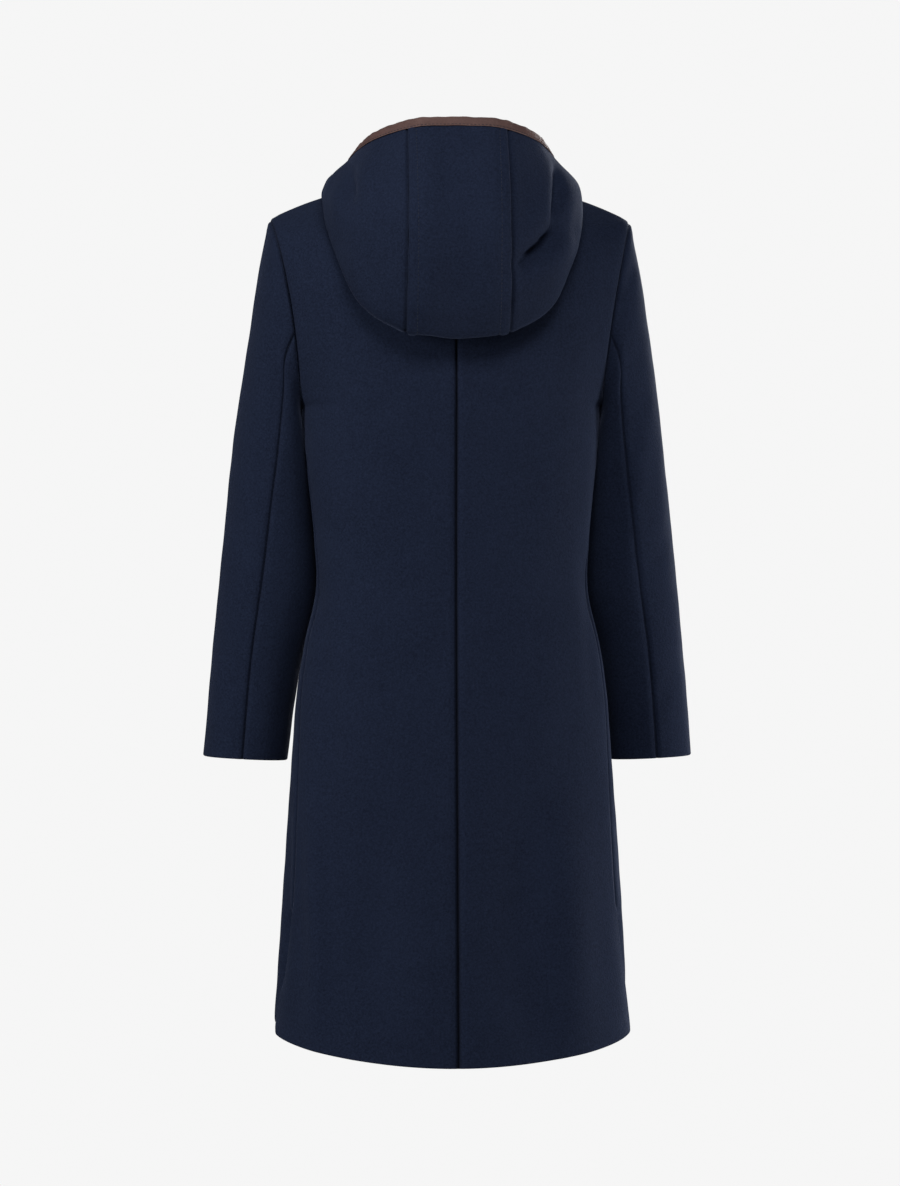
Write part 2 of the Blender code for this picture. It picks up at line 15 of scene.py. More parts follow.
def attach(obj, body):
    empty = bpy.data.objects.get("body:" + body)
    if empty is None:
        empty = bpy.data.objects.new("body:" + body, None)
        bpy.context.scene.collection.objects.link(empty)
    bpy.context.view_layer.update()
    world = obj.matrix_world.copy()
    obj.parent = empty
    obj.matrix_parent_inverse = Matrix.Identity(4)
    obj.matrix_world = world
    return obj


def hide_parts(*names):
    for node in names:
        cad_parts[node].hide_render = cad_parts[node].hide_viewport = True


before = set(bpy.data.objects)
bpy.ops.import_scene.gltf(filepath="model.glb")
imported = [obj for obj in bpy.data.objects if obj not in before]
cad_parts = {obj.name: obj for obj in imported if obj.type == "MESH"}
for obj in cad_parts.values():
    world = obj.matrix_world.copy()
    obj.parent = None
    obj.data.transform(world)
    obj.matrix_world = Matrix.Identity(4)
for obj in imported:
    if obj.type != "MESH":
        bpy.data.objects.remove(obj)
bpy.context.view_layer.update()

# Cloth and leather
CLOTH = 0.0025
LAYER_GAP = 0.0008
LEATHER = 0.0012
WEAVE_STEP = 0.0044  # the size of the shells' mesh
HOOD_WEAVE_STEP = 0.0036
STRIP_WEAVE_STEP = 0.006  # on the armholes' allowances
BORDER_LINES = (0.0008, 0.0018, 0.0032)  # extra lines this far in from each border

# Form of the body: as in the solids, apart from small moves at the sides, the vents and the hem's corners
SHOULDER_HALF = 0.205
SHOULDER_DROP = 0.040
NECK_SHARE = 0.4  # how far along the shoulder the neckline reaches
NECK_COLUMNS = 8
SHOULDER_COLUMNS = 9
FRONT_OVERLAP = 0.045
OVERLAP_COLUMNS = {"edge": 1, "half": 0.5}  # the front's columns past the centre line, as shares of it
LIFT_REACH = (0.075, 0.110)  # the right front lies a layer higher inside this x
LIFT_HEIGHTS = (-0.030, -0.060)
OVERLAP_TOP_DROP = 0.12
CORNER_DROP = 0.05
SLOPE_LEVELS = 3
SQUARENESS = 0.05
RIDGE_EVEN = 0.75  # the share of the shoulder's fall that is even; the rest is near its tip
QUARTER_LENGTH = 0.9  # a level's quarter against a circle's of the same width
HEM_CORNER = 0.025
VENT_SPREAD = 0.0035
VENT_LAP = 0.012  # how far the front runs on under the back where the side is open
VENT_SINK = 0.0055  # and how far inside it lies there
VENT_RISE = 0.006  # how far its hem draws up behind the back's rounded corner
VENT_RISE_FAR = 0.115  # the rise starts this far from the front's edge
VENT_RISE_NEAR = 0.060  # and is whole this far from it
VENT_RISE_HEIGHT = 0.060
VENT_BLEND = 0.020
VENT_START = 0.004  # the front starts to sink this far above the vent's top
BINDING_DEPTH = 0.010
ARMHOLE_LOW = (0.170, 0.0, -0.2565)
ARMHOLE_HALF_DEPTH = 0.060
ARMHOLE_HOLLOW = {"back": 0.006, "front": 0.013}
ARMHOLE_STEPS = (0, 10, 22, 38, 57, 80, 103, 130, 155, 180)
SLEEVE_SEAM_STEP = 6
BACK_YOKE = (  # centre_y, centre_z, turn
    (0.000, 0.022, 8),
    (0.030, 0.012, 11),
    (0.058, -0.012, 15),
    (0.089, -0.045, 25),
    (0.109, -0.085, 33),
    (0.119, -0.130, 41),
    (0.1225, -0.175, 50),
    (0.1225, -0.217, 62),
    (0.122, -0.248, 76),
    (0.1215, -0.262, 90),
)
FRONT_YOKE = (
    (0.000, 0.022, 8),
    (-0.024, 0.013, 11),
    (-0.046, -0.010, 15),
    (-0.073, -0.045, 25),
    (-0.096, -0.088, 33),
    (-0.114, -0.130, 41),
    (-0.126, -0.175, 50),
    (-0.132, -0.217, 62),
    (-0.134, -0.248, 76),
    (-0.135, -0.262, 90),
)
BACK_NECK_LEVEL = 2.3
FRONT_NECK_LEVEL = 3.95
BODY_LEVELS = (  # back_z, side_z, front_z, half_width, back_y, front_y, side_y
    (-0.298, -0.295, -0.298, 0.1655, 0.1195, -0.1345, 0.018),
    (-0.348, -0.346, -0.348, 0.1595, 0.1170, -0.1325, 0.029),
    (-0.402, -0.400, -0.402, 0.1540, 0.1155, -0.1305, 0.034),
    (-0.461, -0.459, -0.461, 0.1520, 0.1165, -0.1300, 0.036),
    (-0.523, -0.521, -0.523, 0.1655, 0.1210, -0.1330, 0.036),
    (-0.583, -0.580, -0.583, 0.1744, 0.1265, -0.1375, 0.031),
    (-0.652, -0.647, -0.652, 0.1790, 0.1325, -0.1430, 0.033),
    (-0.735, -0.728, -0.734, 0.1845, 0.1395, -0.1495, 0.035),
    (-0.824, -0.815, -0.822, 0.1905, 0.1465, -0.1560, 0.037),
    (-0.900, -0.887, -0.897, 0.1955, 0.1525, -0.1610, 0.039),
    (-0.984, -0.956, -0.972, 0.2005, 0.1590, -0.1660, 0.041),
)
# Where the side seam lies at each of these levels: the share of the back's quarter at which the back ends
SEAM_SHARES = (0.98, 0.95, 0.92, 0.89, 0.86, 0.83, 0.80, 0.77, 0.76, 0.83, 0.965)
VENT_LEVEL = 8  # the vents open below this one of the body's levels
VENT_TOP = BODY_LEVELS[VENT_LEVEL][1]

# Form of the sleeves
SLEEVE_RINGS = (  # outer_x, outer_z, inner_x, inner_z, middle_y, half_depth, back_seam, front_seam
    (0.2150, -0.090, 0.1690, -0.268, -0.006, 0.0630, 101, 104),
    (0.2262, -0.160, 0.1632, -0.297, -0.015, 0.0650, 98, 106),
    (0.2385, -0.245, 0.1568, -0.338, -0.022, 0.0655, 93, 108),
    (0.2498, -0.337, 0.1530, -0.394, -0.028, 0.0650, 87, 109),
    (0.2596, -0.430, 0.1500, -0.459, -0.031, 0.0630, 81, 108),
    (0.2682, -0.520, 0.1680, -0.535, -0.036, 0.0590, 82, 106),
    (0.2746, -0.588, 0.1785, -0.597, -0.040, 0.0560, 84, 103),
    (0.2800, -0.649, 0.1858, -0.654, -0.043, 0.0525, 86, 100),
)
SLEEVE_HEARTS = {"sleeve_left": (0.21, -0.03), "sleeve_right": (-0.21, -0.03)}  # x, y inside each

# Form of the hood, by place along the neckline from centre back to centre front
HOOD_PLACES = (0, 4, 6, 8, 10, 12, 14, 16)
HOOD_STAND = (0.028, 0.026, 0.022, 0.018, 0.016, 0.013, 0.010, 0.006)
HOOD_STAND_LEAN = 0.25
HOOD_CLEARANCE = 0.0080
HOOD_NEAR = 0.05  # points farther than this from the coat are not moved off it
HOOD_FRONT_GAP = 0.0015
HOOD_FOLD = (
    (0.000, 0.150, -0.1825),
    (0.057, 0.147, -0.1765),
    (0.108, 0.126, -0.1420),
    (0.141, 0.075, -0.0560),
    (0.143, 0.000, -0.0030),
    (0.126, -0.054, -0.0250),
    (0.080, -0.096, -0.0560),
    (0.000, -0.106, -0.0760),
)
HOOD_BELLY = (
    (0.000, 0.187, -0.070),
    (0.057, 0.182, -0.068),
    (0.107, 0.142, -0.050),
    (0.140, 0.070, -0.012),
    (0.135, 0.000, 0.008),
    (0.120, -0.056, -0.010),
    (0.077, -0.096, -0.044),
    (0.000, -0.107, -0.070),
)
HOOD_RIM = (
    (0.000, 0.140, 0.0590),
    (0.055, 0.133, 0.0555),
    (0.088, 0.102, 0.0470),
    (0.107, 0.050, 0.0340),
    (0.107, -0.004, 0.0200),
    (0.094, -0.052, 0.0020),
    (0.062, -0.088, -0.0290),
    (0.000, -0.105, -0.0610),
)
HOOD_SEAM_PLACE = 4
HOOD_STEPS = (1, 2, 3, 3, 2)

# Fastenings
TOGGLE_HEIGHTS = (-0.150, -0.285, -0.420, -0.555)
TOGGLE_LENGTH = 0.052
TOGGLE_RADIUS = 0.0072
TOGGLE_RINGS = 48
CORD_RADIUS = 0.0019
LOOP_HALF = 0.0075
TIE_HALF = 0.0035
STEM_X = 0.062  # the toggles' middle
LOOP_PAST = 0.012  # how far past it a loop reaches
TIE_PAST = 0.004
PATCH_RIGHT_X = -0.052
PATCH_LEFT_X = 0.118
PATCH_SIZE = (0.034, 0.036)
PATCH_LINES = (20, 24)
PATCH_TAPER = 0.55
PATCH_STITCHES_IN = 0.0032  # from its border
CORD_STEP = 0.0016
CORD_GAP = 0.0006  # between crossing cords and between them and the toggle


# ---------------------------------------------------------------- forms

def unit(vector):
    return vector / np.linalg.norm(vector)


def lengths_along(path):
    """How far along a path each of its points lies."""
    return np.concatenate([[0], np.cumsum(np.linalg.norm(np.diff(path, axis=0), axis=1))])


def smooth_rows(keys, values, at):
    """Values between a table's rows, on one smooth curve through all of them; at is one place or many."""
    keys, values, at = np.asarray(keys, float), np.asarray(values, float), np.asarray(at, float)
    slopes = np.gradient(values, keys, axis=0)
    i = np.clip(np.searchsorted(keys, at, side="right") - 1, 0, len(keys) - 2)
    shape = at.shape + (1,) * (values.ndim - 1)
    step = (keys[i + 1] - keys[i]).reshape(shape)
    t = (at - keys[i]).reshape(shape) / step
    return (
        values[i] * (2 * t**3 - 3 * t**2 + 1)
        + slopes[i] * step * (t**3 - 2 * t**2 + t)
        + values[i + 1] * (3 * t**2 - 2 * t**3)
        + slopes[i + 1] * step * (t**3 - t**2)
    )


def eased(t):
    """0 below 0, 1 above 1, and a smooth step between."""
    t = np.clip(t, 0, 1)
    return t * t * (3 - 2 * t)


def armhole(degrees, side):
    """The middle of the cloth on the armhole, this far round from the shoulder tip; side: back or front."""
    a = radians(degrees)
    low_x, _, low_z = ARMHOLE_LOW
    facing = 1 if side == "back" else -1
    x = (SHOULDER_HALF + low_x) / 2 + (SHOULDER_HALF - low_x) / 2 * cos(a)
    z = (low_z - SHOULDER_DROP) / 2 - (low_z + SHOULDER_DROP) / 2 * cos(a)
    return np.array([x - ARMHOLE_HOLLOW[side] * sin(a) ** 2, facing * ARMHOLE_HALF_DEPTH * sin(a), z])


def level_point(share, centre, edge, turn, straight=0):
    """A point on a level curve that leaves the centre line square and has turned this far at its edge."""
    end, a = radians(turn), radians(turn) * abs(share)
    swell, end_swell = 1 + SQUARENESS * sin(2 * a) ** 2, 1 + SQUARENESS * sin(2 * end) ** 2
    across = sin(a) * swell / (sin(end) * end_swell)
    deep = (cos(a) * swell - cos(end) * end_swell) / (1 - cos(end) * end_swell)
    slope = RIDGE_EVEN * abs(share) + (1 - RIDGE_EVEN) * abs(share) ** 5
    fall = straight * slope + (1 - straight) * sin(share * pi / 2) ** 2
    return np.array([
        edge[0] * across * (1 if share >= 0 else -1),
        edge[1] + (centre[0] - edge[1]) * deep,
        centre[1] + (edge[2] - centre[1]) * fall,
    ])


def levels_of(side):
    """(centre, edge, turn, straightness) of every level of the back or front, from shoulder ridge to hem."""
    yoke = BACK_YOKE if side == "back" else FRONT_YOKE
    found = [
        ((y, z), armhole(step, side), turn, max(1 - level / SLOPE_LEVELS, 0))
        for level, ((y, z, turn), step) in enumerate(zip(yoke, ARMHOLE_STEPS))
    ]
    for back_z, side_z, front_z, half_width, back_y, front_y, side_y in BODY_LEVELS:
        centre = (back_y, back_z) if side == "back" else (front_y, front_z)
        found.append((centre, np.array([half_width, side_y, side_z]), 90, 0))
    return found


def hem_rows():
    """The last rows, where the hem's corner rounds: (rise above the hem, how far the edge draws in)."""
    angles = [radians(degrees) for degrees in (0, 35, 62, 90)]
    return [(HEM_CORNER * (1 - sin(a)), HEM_CORNER * (1 - cos(a))) for a in angles]


def shares(front):
    """The columns: shares of a level from the centre line to the side, closer together at the neck."""
    neck = [NECK_SHARE * k / NECK_COLUMNS for k in range(NECK_COLUMNS + 1)]
    rest = [
        NECK_SHARE + (1 - NECK_SHARE) * k / SHOULDER_COLUMNS for k in range(1, SHOULDER_COLUMNS + 1)
    ]
    return (list(OVERLAP_COLUMNS) if front else []) + neck + rest


def drawn_share(share, level, edge, inset, opening):
    """The share, drawn in from the side where the vent is open and where the hem's corner rounds."""
    if share <= NECK_SHARE:
        return share
    below = level - len(ARMHOLE_STEPS) - VENT_LEVEL
    opened = eased(4 * max(below, 0) / (len(BODY_LEVELS) - 1 - VENT_LEVEL))
    quarter = 0.5 * pi * edge[0] * QUARTER_LENGTH
    reach = (share - NECK_SHARE) / (1 - NECK_SHARE)
    return share - reach**2 * (opening * opened + inset) / quarter


def side_point(side, share, level):
    """A point on a level below the underarm, where the back and the front both end at the side seam."""
    seam = SEAM_SHARES[level - len(ARMHOLE_STEPS)]
    end = seam if side == "back" else 2 - seam
    if share > NECK_SHARE:
        share = NECK_SHARE + (share - NECK_SHARE) * (end - NECK_SHARE) / (1 - NECK_SHARE)
    if share > 1:
        return level_point(2 - share, *levels_of("back")[level])
    return level_point(share, *levels_of(side)[level])


def body_panel(side, lifted=False):
    """The wearer's left back or front: an array of points, rows by columns, on the middle of the cloth."""
    levels = levels_of(side)
    opening = VENT_SPREAD if side == "back" else -VENT_LAP
    keys = list(range(len(levels)))
    last_yoke = len(ARMHOLE_STEPS) - 1
    neck_level = BACK_NECK_LEVEL if side == "back" else FRONT_NECK_LEVEL
    hem = len(levels) - 1
    rounding = hem_rows()
    rows = [("yoke", j / 2) for j in range(2 * last_yoke + 1)]
    rows += [("body", j) for j in range(last_yoke + 1, hem)]
    rows += [("hem", k) for k in range(len(rounding))]
    panel = []
    for kind, j in rows:
        line = []
        for share in shares(side == "front"):
            past = OVERLAP_COLUMNS.get(share)
            nearest = hem if kind == "hem" else int(round(j))
            _, edge, turn, _ = levels[nearest]
            if past:
                if kind == "yoke" and j != nearest:
                    turn = (levels[int(j)][2] + levels[int(j) + 1][2]) / 2
                    edge = (levels[int(j)][1] + levels[int(j) + 1][1]) / 2
                a = radians(turn)
                share = -np.arcsin(min(FRONT_OVERLAP * past * sin(a) / edge[0], 1)) / a
            start = neck_level * sqrt(max(1 - (abs(share) / NECK_SHARE) ** 2, 0))
            start += OVERLAP_TOP_DROP if past else CORNER_DROP if lifted and share == 0 else 0
            if kind == "yoke":
                at = start + (last_yoke - start) * j / last_yoke
                each = [level_point(share, *level_parts) for level_parts in levels[: last_yoke + 2]]
                over = 2 * each[0] - each[1]
                over[2] = each[1][2]
                point = smooth_rows([-1] + keys[: last_yoke + 2], [over] + each, at)
            elif kind == "body":
                point = side_point(side, drawn_share(share, j, edge, 0, opening), j)
            else:
                rise, inset = rounding[j]
                point = side_point(side, drawn_share(share, hem, edge, inset, opening), hem)
                above = side_point(side, share, hem - 1)
                point = point + unit(above - point) * rise
            line.append(point)
        panel.append(line)
    panel = np.array(panel)
    if lifted:
        near, far = LIFT_REACH
        high, low = LIFT_HEIGHTS
        lift = eased((far - panel[:, :, 0]) / (far - near)) * eased((high - panel[:, :, 2]) / (high - low))
        panel[:, :, 1] -= (CLOTH + LAYER_GAP) * lift
    return panel


def ring_point(degrees, ring):
    """A point on one ring of the sleeve, this far round from its outer side toward the back."""
    outer_x, outer_z, inner_x, inner_z, middle_y, half_depth = ring[:6]
    a = radians(degrees)
    swell = 1 + SQUARENESS * sin(2 * a) ** 2
    return np.array([
        (outer_x + inner_x) / 2 + (outer_x - inner_x) / 2 * cos(a) * swell,
        middle_y + half_depth * sin(a) * swell,
        (outer_z + inner_z) / 2 + (outer_z - inner_z) / 2 * cos(a),
    ])


def sleeve_panel(part):
    """The wearer's left sleeve, top or under: rows run from armhole to cuff, columns from seam to seam."""
    seam = ARMHOLE_STEPS[SLEEVE_SEAM_STEP]
    pairs = zip(ARMHOLE_STEPS, ARMHOLE_STEPS[1:])
    fine = [a + (b - a) * k / 2 for a, b in pairs for k in (0, 1)] + [180]
    if part == "top":
        steps = [d for d in fine if d <= seam]
        columns = [("back", d) for d in reversed(steps)] + [("front", d) for d in steps[1:]]
    else:
        steps = [d for d in fine if d >= seam]
        columns = [("front", d) for d in steps[:-1]] + [("back", d) for d in reversed(steps)]
    panel = [[armhole(d, side) for side, d in columns]]
    for ring in SLEEVE_RINGS:
        seams = {"back": ring[6], "front": ring[7]}
        line = []
        for side, d in columns:
            if part == "top":
                a = d * seams[side] / seam
            else:
                a = 180 - (180 - d) * (180 - seams[side]) / (180 - seam)
            line.append(ring_point(a if side == "back" else -a, ring))
        panel.append(line)
    return np.array(panel)


def section_curve(points, counts, last):
    """Points on a smooth curve through these, so many in each stretch, and one this far before the end."""
    lengths = lengths_along(points)
    end = lengths[-1] - min(last, (lengths[-1] - lengths[-2]) / 2)
    stops = np.append(lengths[:-1], end)
    at = [a + (b - a) * k / n for a, b, n in zip(stops, stops[1:], counts) for k in range(n)]
    return smooth_rows(lengths, points, at + [end, lengths[-1]])


def held_off(point, tree, clearance):
    """The point, moved out where it is nearer to the coat's outer side than the clearance."""
    near, normal, _, distance = tree.find_nearest(Vector(point))
    height = (Vector(point) - near).dot(normal)
    if height < clearance and distance < HOOD_NEAR:
        return np.array(near + normal * clearance)
    return point


def hood_grid(neck, tree, side):
    """One half of the hood: a column for each point of the neckline, up, over, down and up to the rim."""
    columns = []
    for place, start in enumerate(neck):
        rise = smooth_rows(HOOD_PLACES, HOOD_STAND, place)
        out = np.array([start[0], start[1], 0])
        stand = start + rise * (np.array([0, 0, 1]) + HOOD_STAND_LEAN * unit(out))
        fold, belly, rim = (
            smooth_rows(HOOD_PLACES, table, place) * np.array([side, 1, 1])
            for table in (HOOD_FOLD, HOOD_BELLY, HOOD_RIM)
        )
        if place < HOOD_SEAM_PLACE:
            low, seam = HOOD_FOLD[0][2], HOOD_FOLD[1][2]
            fold[2] = low + (seam - low) * (place / HOOD_SEAM_PLACE) ** 2
        under = (stand + fold) / 2
        stops = np.array([start, stand, under, fold, belly, rim])
        column = section_curve(stops, HOOD_STEPS, BINDING_DEPTH)
        for k in range(1, len(column)):
            column[k] = held_off(column[k], tree, CLOTH + HOOD_CLEARANCE * min(k, 3) / 3)
        columns.append(column)
    columns[-1][1:, 0] += side * HOOD_FRONT_GAP
    return np.array(columns).transpose(1, 0, 2)


def mirrored(grid):
    """The same panel on the wearer's other side."""
    return grid[:, ::-1] * np.array([-1, 1, 1])


def normals_of(grid):
    """The direction square to a grid of points at each of them."""
    down, across = np.gradient(grid, axis=0), np.gradient(grid, axis=1)
    normals = np.cross(across, down)
    return normals / np.maximum(np.linalg.norm(normals, axis=2, keepdims=True), 1e-12)


def facing_out(name, grid):
    """The grid with its columns in the order that makes its outer side face out of the coat."""
    i, j = (-3 if "hood" in name else grid.shape[0] // 2), grid.shape[1] // 2
    heart = SLEEVE_HEARTS.get(name.rsplit("_", 1)[0], (0, 0))
    away = np.array([grid[i, j][0] - heart[0], grid[i, j][1] - heart[1], 0])
    return grid if normals_of(grid)[i, j].dot(away) > 0 else grid[:, ::-1]


def tree_of(grids):
    """A search tree over panels, facing out of the coat."""
    points, faces = [], []
    for grid in grids:
        rows, columns = grid.shape[:2]
        first = len(points)
        points += [Vector(p) for p in grid.reshape(-1, 3)]
        for i in range(rows - 1):
            for j in range(columns - 1):
                a = first + i * columns + j
                faces.append((a, a + 1, a + columns + 1, a + columns))
    return BVHTree.FromPolygons(points, faces)


def spacing_of(grid, axis):
    """The places of a grid's rows or columns, in metres along the cloth."""
    steps = np.linalg.norm(np.diff(grid, axis=axis), axis=2).mean(axis=1 - axis)
    return np.concatenate([[0], np.cumsum(steps)])


def close_lines(length, step):
    """Places from 0 to a length, a step apart, with closer ones at both ends."""
    count = max(int(round(length / step)), 2)
    inner = np.arange(1, count) * length / count
    near = np.array(BORDER_LINES)
    margin = near[-1] * 1.4
    inner = inner[(inner > margin) & (inner < length - margin)]
    return np.concatenate([[0], near, inner, length - near[::-1], [length]])


def refined(grid, step=WEAVE_STEP):
    """(the grid on fine lines, the places of its rows, the places of its columns)."""
    rows, columns = spacing_of(grid, 0), spacing_of(grid, 1)
    fine_rows, fine_columns = close_lines(rows[-1], step), close_lines(columns[-1], step)
    down = smooth_rows(rows, grid, fine_rows)
    both = smooth_rows(columns, down.transpose(1, 0, 2), fine_columns).transpose(1, 0, 2)
    return both, fine_rows, fine_columns


# ---------------------------------------------------------------- sculpting and shells

# Folds as placed on the cloth: (panel's part of the name, facing, half width, rise, path of (x, z)).
# A positive rise is a soft ridge and a negative one a trough; facing is +1 on the back and -1 on the front.
FOLDS = (
    # lower back: long soft bands by the sides
    ("back_left", 1, 0.011, 0.0075, ((0.156, -0.690), (0.156, -0.760), (0.154, -0.860), (0.157, -0.960))),
    ("left", 1, 0.007, -0.009, ((0.188, -0.690), (0.190, -0.760), (0.192, -0.830), (0.196, -0.900))),
    ("back_right", 1, 0.023, 0.007, ((-0.122, -0.70), (-0.128, -0.79), (-0.132, -0.89), (-0.136, -0.975))),
    ("back_right", 1, 0.030, -0.007, ((-0.070, -0.69), (-0.073, -0.78), (-0.076, -0.90), (-0.090, -0.975))),
    ("back_left", 1, 0.036, -0.007, ((0.100, -0.700), (0.090, -0.800), (0.092, -0.950))),
    # where the arm presses the side in
    ("back_left", 1, 0.010, -0.0034, ((0.148, -0.455), (0.146, -0.530), (0.139, -0.600), (0.135, -0.660))),
    ("back_right", 1, 0.010, -0.0026, ((-0.150, -0.430), (-0.152, -0.520), (-0.156, -0.590))),
    ("back_left", 1, 0.022, 0.0016, ((0.105, -0.200), (0.112, -0.300), (0.108, -0.390))),
    ("back_right", 1, 0.024, 0.0018, ((-0.110, -0.190), (-0.118, -0.280), (-0.112, -0.400))),
    ("back", 1, 0.040, -0.0016, ((0.060, -0.520), (0.052, -0.640), (0.048, -0.800))),
    ("back", 1, 0.046, -0.0018, ((-0.064, -0.480), (-0.058, -0.620), (-0.050, -0.760))),
    # sleeves, seen from behind
    ("sleeve_right", 1, 0.006, -0.0026, ((-0.207, -0.086), (-0.203, -0.102), (-0.197, -0.121))),
    ("sleeve_right", 1, 0.009, 0.0022,
     ((-0.226, -0.236), (-0.217, -0.290), (-0.214, -0.320), (-0.212, -0.395))),
    ("sleeve_left", 1, 0.008, -0.0018, ((0.190, -0.205), (0.197, -0.250), (0.199, -0.300))),
    ("sleeve_left", 1, 0.012, 0.0018, ((0.224, -0.330), (0.226, -0.400), (0.232, -0.470))),
    ("sleeve_left", 1, 0.010, -0.0016, ((0.250, -0.345), (0.243, -0.385), (0.228, -0.420))),
    ("sleeve_right", 1, 0.010, -0.0016, ((-0.252, -0.370), (-0.240, -0.415), (-0.224, -0.440))),
    ("sleeve_left", 1, 0.012, -0.0014, ((0.262, -0.500), (0.250, -0.545), (0.236, -0.570))),
    ("sleeve_right", 1, 0.011, -0.0014, ((-0.264, -0.520), (-0.252, -0.560), (-0.236, -0.590))),
    # sleeves, in front at the elbow's bend
    ("sleeve_left", -1, 0.010, -0.0030, ((0.252, -0.300), (0.232, -0.318), (0.205, -0.322))),
    ("sleeve_left", -1, 0.012, 0.0026, ((0.256, -0.325), (0.236, -0.345), (0.206, -0.350))),
    ("sleeve_left", -1, 0.009, -0.0022, ((0.252, -0.358), (0.230, -0.372), (0.204, -0.388))),
    ("sleeve_right", -1, 0.010, -0.0028, ((-0.250, -0.308), (-0.228, -0.322), (-0.202, -0.330))),
    ("sleeve_right", -1, 0.012, 0.0026, ((-0.256, -0.336), (-0.234, -0.352), (-0.205, -0.362))),
    ("sleeve_right", -1, 0.009, -0.0020, ((-0.254, -0.372), (-0.232, -0.384), (-0.206, -0.398))),
    ("sleeve", -1, 0.016, -0.0018, ((0.262, -0.470), (0.246, -0.500), (0.222, -0.515))),
    ("sleeve", -1, 0.016, -0.0018, ((-0.262, -0.455), (-0.246, -0.492), (-0.220, -0.510))),
    # fronts: drags from the toggles and soft bands to the hem
    ("front", -1, 0.014, -0.0016, ((0.130, -0.300), (0.136, -0.345), (0.128, -0.400))),
    ("front", -1, 0.014, -0.0018, ((-0.120, -0.320), (-0.132, -0.380), (-0.126, -0.440))),
    ("front_left", -1, 0.013, 0.0028, ((0.150, -0.660), (0.158, -0.760), (0.160, -0.880))),
    ("front_left", -1, 0.018, -0.0026, ((0.110, -0.620), (0.116, -0.740), (0.112, -0.900))),
    ("front_right", -1, 0.015, 0.0028, ((-0.142, -0.640), (-0.152, -0.740), (-0.150, -0.900))),
    ("front_right", -1, 0.020, -0.0024, ((-0.096, -0.650), (-0.102, -0.760), (-0.098, -0.880))),
)

# The same for the hood's outer roll, which lies behind the neck
HOOD_FOLDS = (
    ("hood", 1, 0.0060, -0.0080, ((0.117, 0.016), (0.118, 0.002), (0.117, -0.012), (0.114, -0.030))),
    ("hood", 1, 0.0100, 0.0034, ((0.136, -0.006), (0.134, -0.026), (0.128, -0.048), (0.118, -0.070))),
    ("hood", 1, 0.0100, 0.0022, ((0.100, 0.010), (0.099, -0.012), (0.094, -0.040))),
    ("hood", 1, 0.0054, -0.0140, ((-0.113, 0.010), (-0.114, -0.006), (-0.111, -0.026), (-0.106, -0.050))),
    ("hood", 1, 0.0095, 0.0036, ((-0.128, -0.004), (-0.127, -0.030), (-0.121, -0.052))),
    ("hood", 1, 0.0075, -0.0150, ((-0.114, -0.048), (-0.104, -0.068), (-0.084, -0.088), (-0.062, -0.106))),
    ("hood", 1, 0.0120, 0.0080, ((-0.128, -0.066), (-0.114, -0.090), (-0.094, -0.110), (-0.074, -0.128))),
    ("hood", 1, 0.0110, 0.0040, ((-0.096, -0.016), (-0.092, -0.044), (-0.080, -0.070), (-0.064, -0.092))),
    ("hood", 1, 0.0200, 0.0016, ((0.010, -0.020), (0.004, -0.080), (-0.004, -0.140))),
    ("hood", 1, 0.0120, -0.0014, ((-0.028, 0.020), (-0.030, -0.060), (-0.026, -0.120))),
)

SEAM_DITCH = 0.0020  # how deep a sewn border sinks below the cloth's face
# how far the whole cloth dips toward it, by the first word of the panel's name
SEAM_FALL = {"back": 0.0016, "sleeve": 0.0008, "hood": 0.0004, "front": 0.0006}
SEAM_FALL_REACH = 0.0034
SEAM_PAINTED_SHADE = {"back": 0.9, "sleeve": 0.3, "hood": 0.35, "front": 0.4}  # how dark the painted shade in the seam is
SEAM_PAINTED_SHADE_REACH = 0.0016
SEAM_SWELL = 0.0006  # the allowances lift the cloth beside it by this
SEAM_REACH = 0.0030
ALLOWANCE = 0.011
ALLOWANCE_DEPTH = 0.0034  # how far inside the cloth's middle the pressed allowances lie
ALLOWANCE_THICKNESS = 0.0016
PUCKER = (0.03, 0.22)  # how long a seam's puckers are, and what share of its depth they change
FAR = 1.0  # stands for the distance from a border that doesn't count
BORDER_LEFT = 0.2  # the share of its thickness that the cloth keeps on a free border


def fold_field(points, normals, folds, name):
    """How far each point moves out along its normal for the folds that lie on this panel."""
    moved = np.zeros(points.shape[:2])
    for part, facing, half_width, rise, path in folds:
        if part not in name:
            continue
        lengths = lengths_along(path)
        at = np.linspace(0, lengths[-1], 4 * len(path) + 1)
        curve = smooth_rows(lengths, path, at)
        plan = points[:, :, ::2]
        best, along = np.full(plan.shape[:2], np.inf), np.zeros(plan.shape[:2])
        for start, run, a, b in zip(curve, np.diff(curve, axis=0), at, at[1:]):
            t = np.clip(((plan - start) @ run) / (run @ run), 0, 1)
            gap = np.linalg.norm(plan - start - t[..., None] * run, axis=2)
            nearer = gap < best
            best = np.where(nearer, gap, best)
            along = np.where(nearer, (a + (b - a) * t) / at[-1], along)
        strength = 0.25 + 0.75 * np.sin(np.clip(along, 0, 1) * pi) ** 0.7  # a quarter as high at its ends
        lies = eased((normals[:, :, 1] * facing + 0.05) / 0.35)  # only where the cloth faces that way
        moved += rise * strength * lies * np.exp(-((best / half_width) ** 2))
    return moved


def waver(points, size, height, seed):
    """A gentle unevenness of the cloth, this high and of about this size."""
    draws = np.random.default_rng(seed)
    total = np.zeros(points.shape[:2])
    for _ in range(7):
        way = draws.normal(size=3) * (1, 1, 0.55)
        way *= 2 * pi / size / np.linalg.norm(way) * draws.uniform(0.6, 1.5)
        total += np.sin(points @ way + draws.uniform(0, 2 * pi))
    return total * height / sqrt(7)


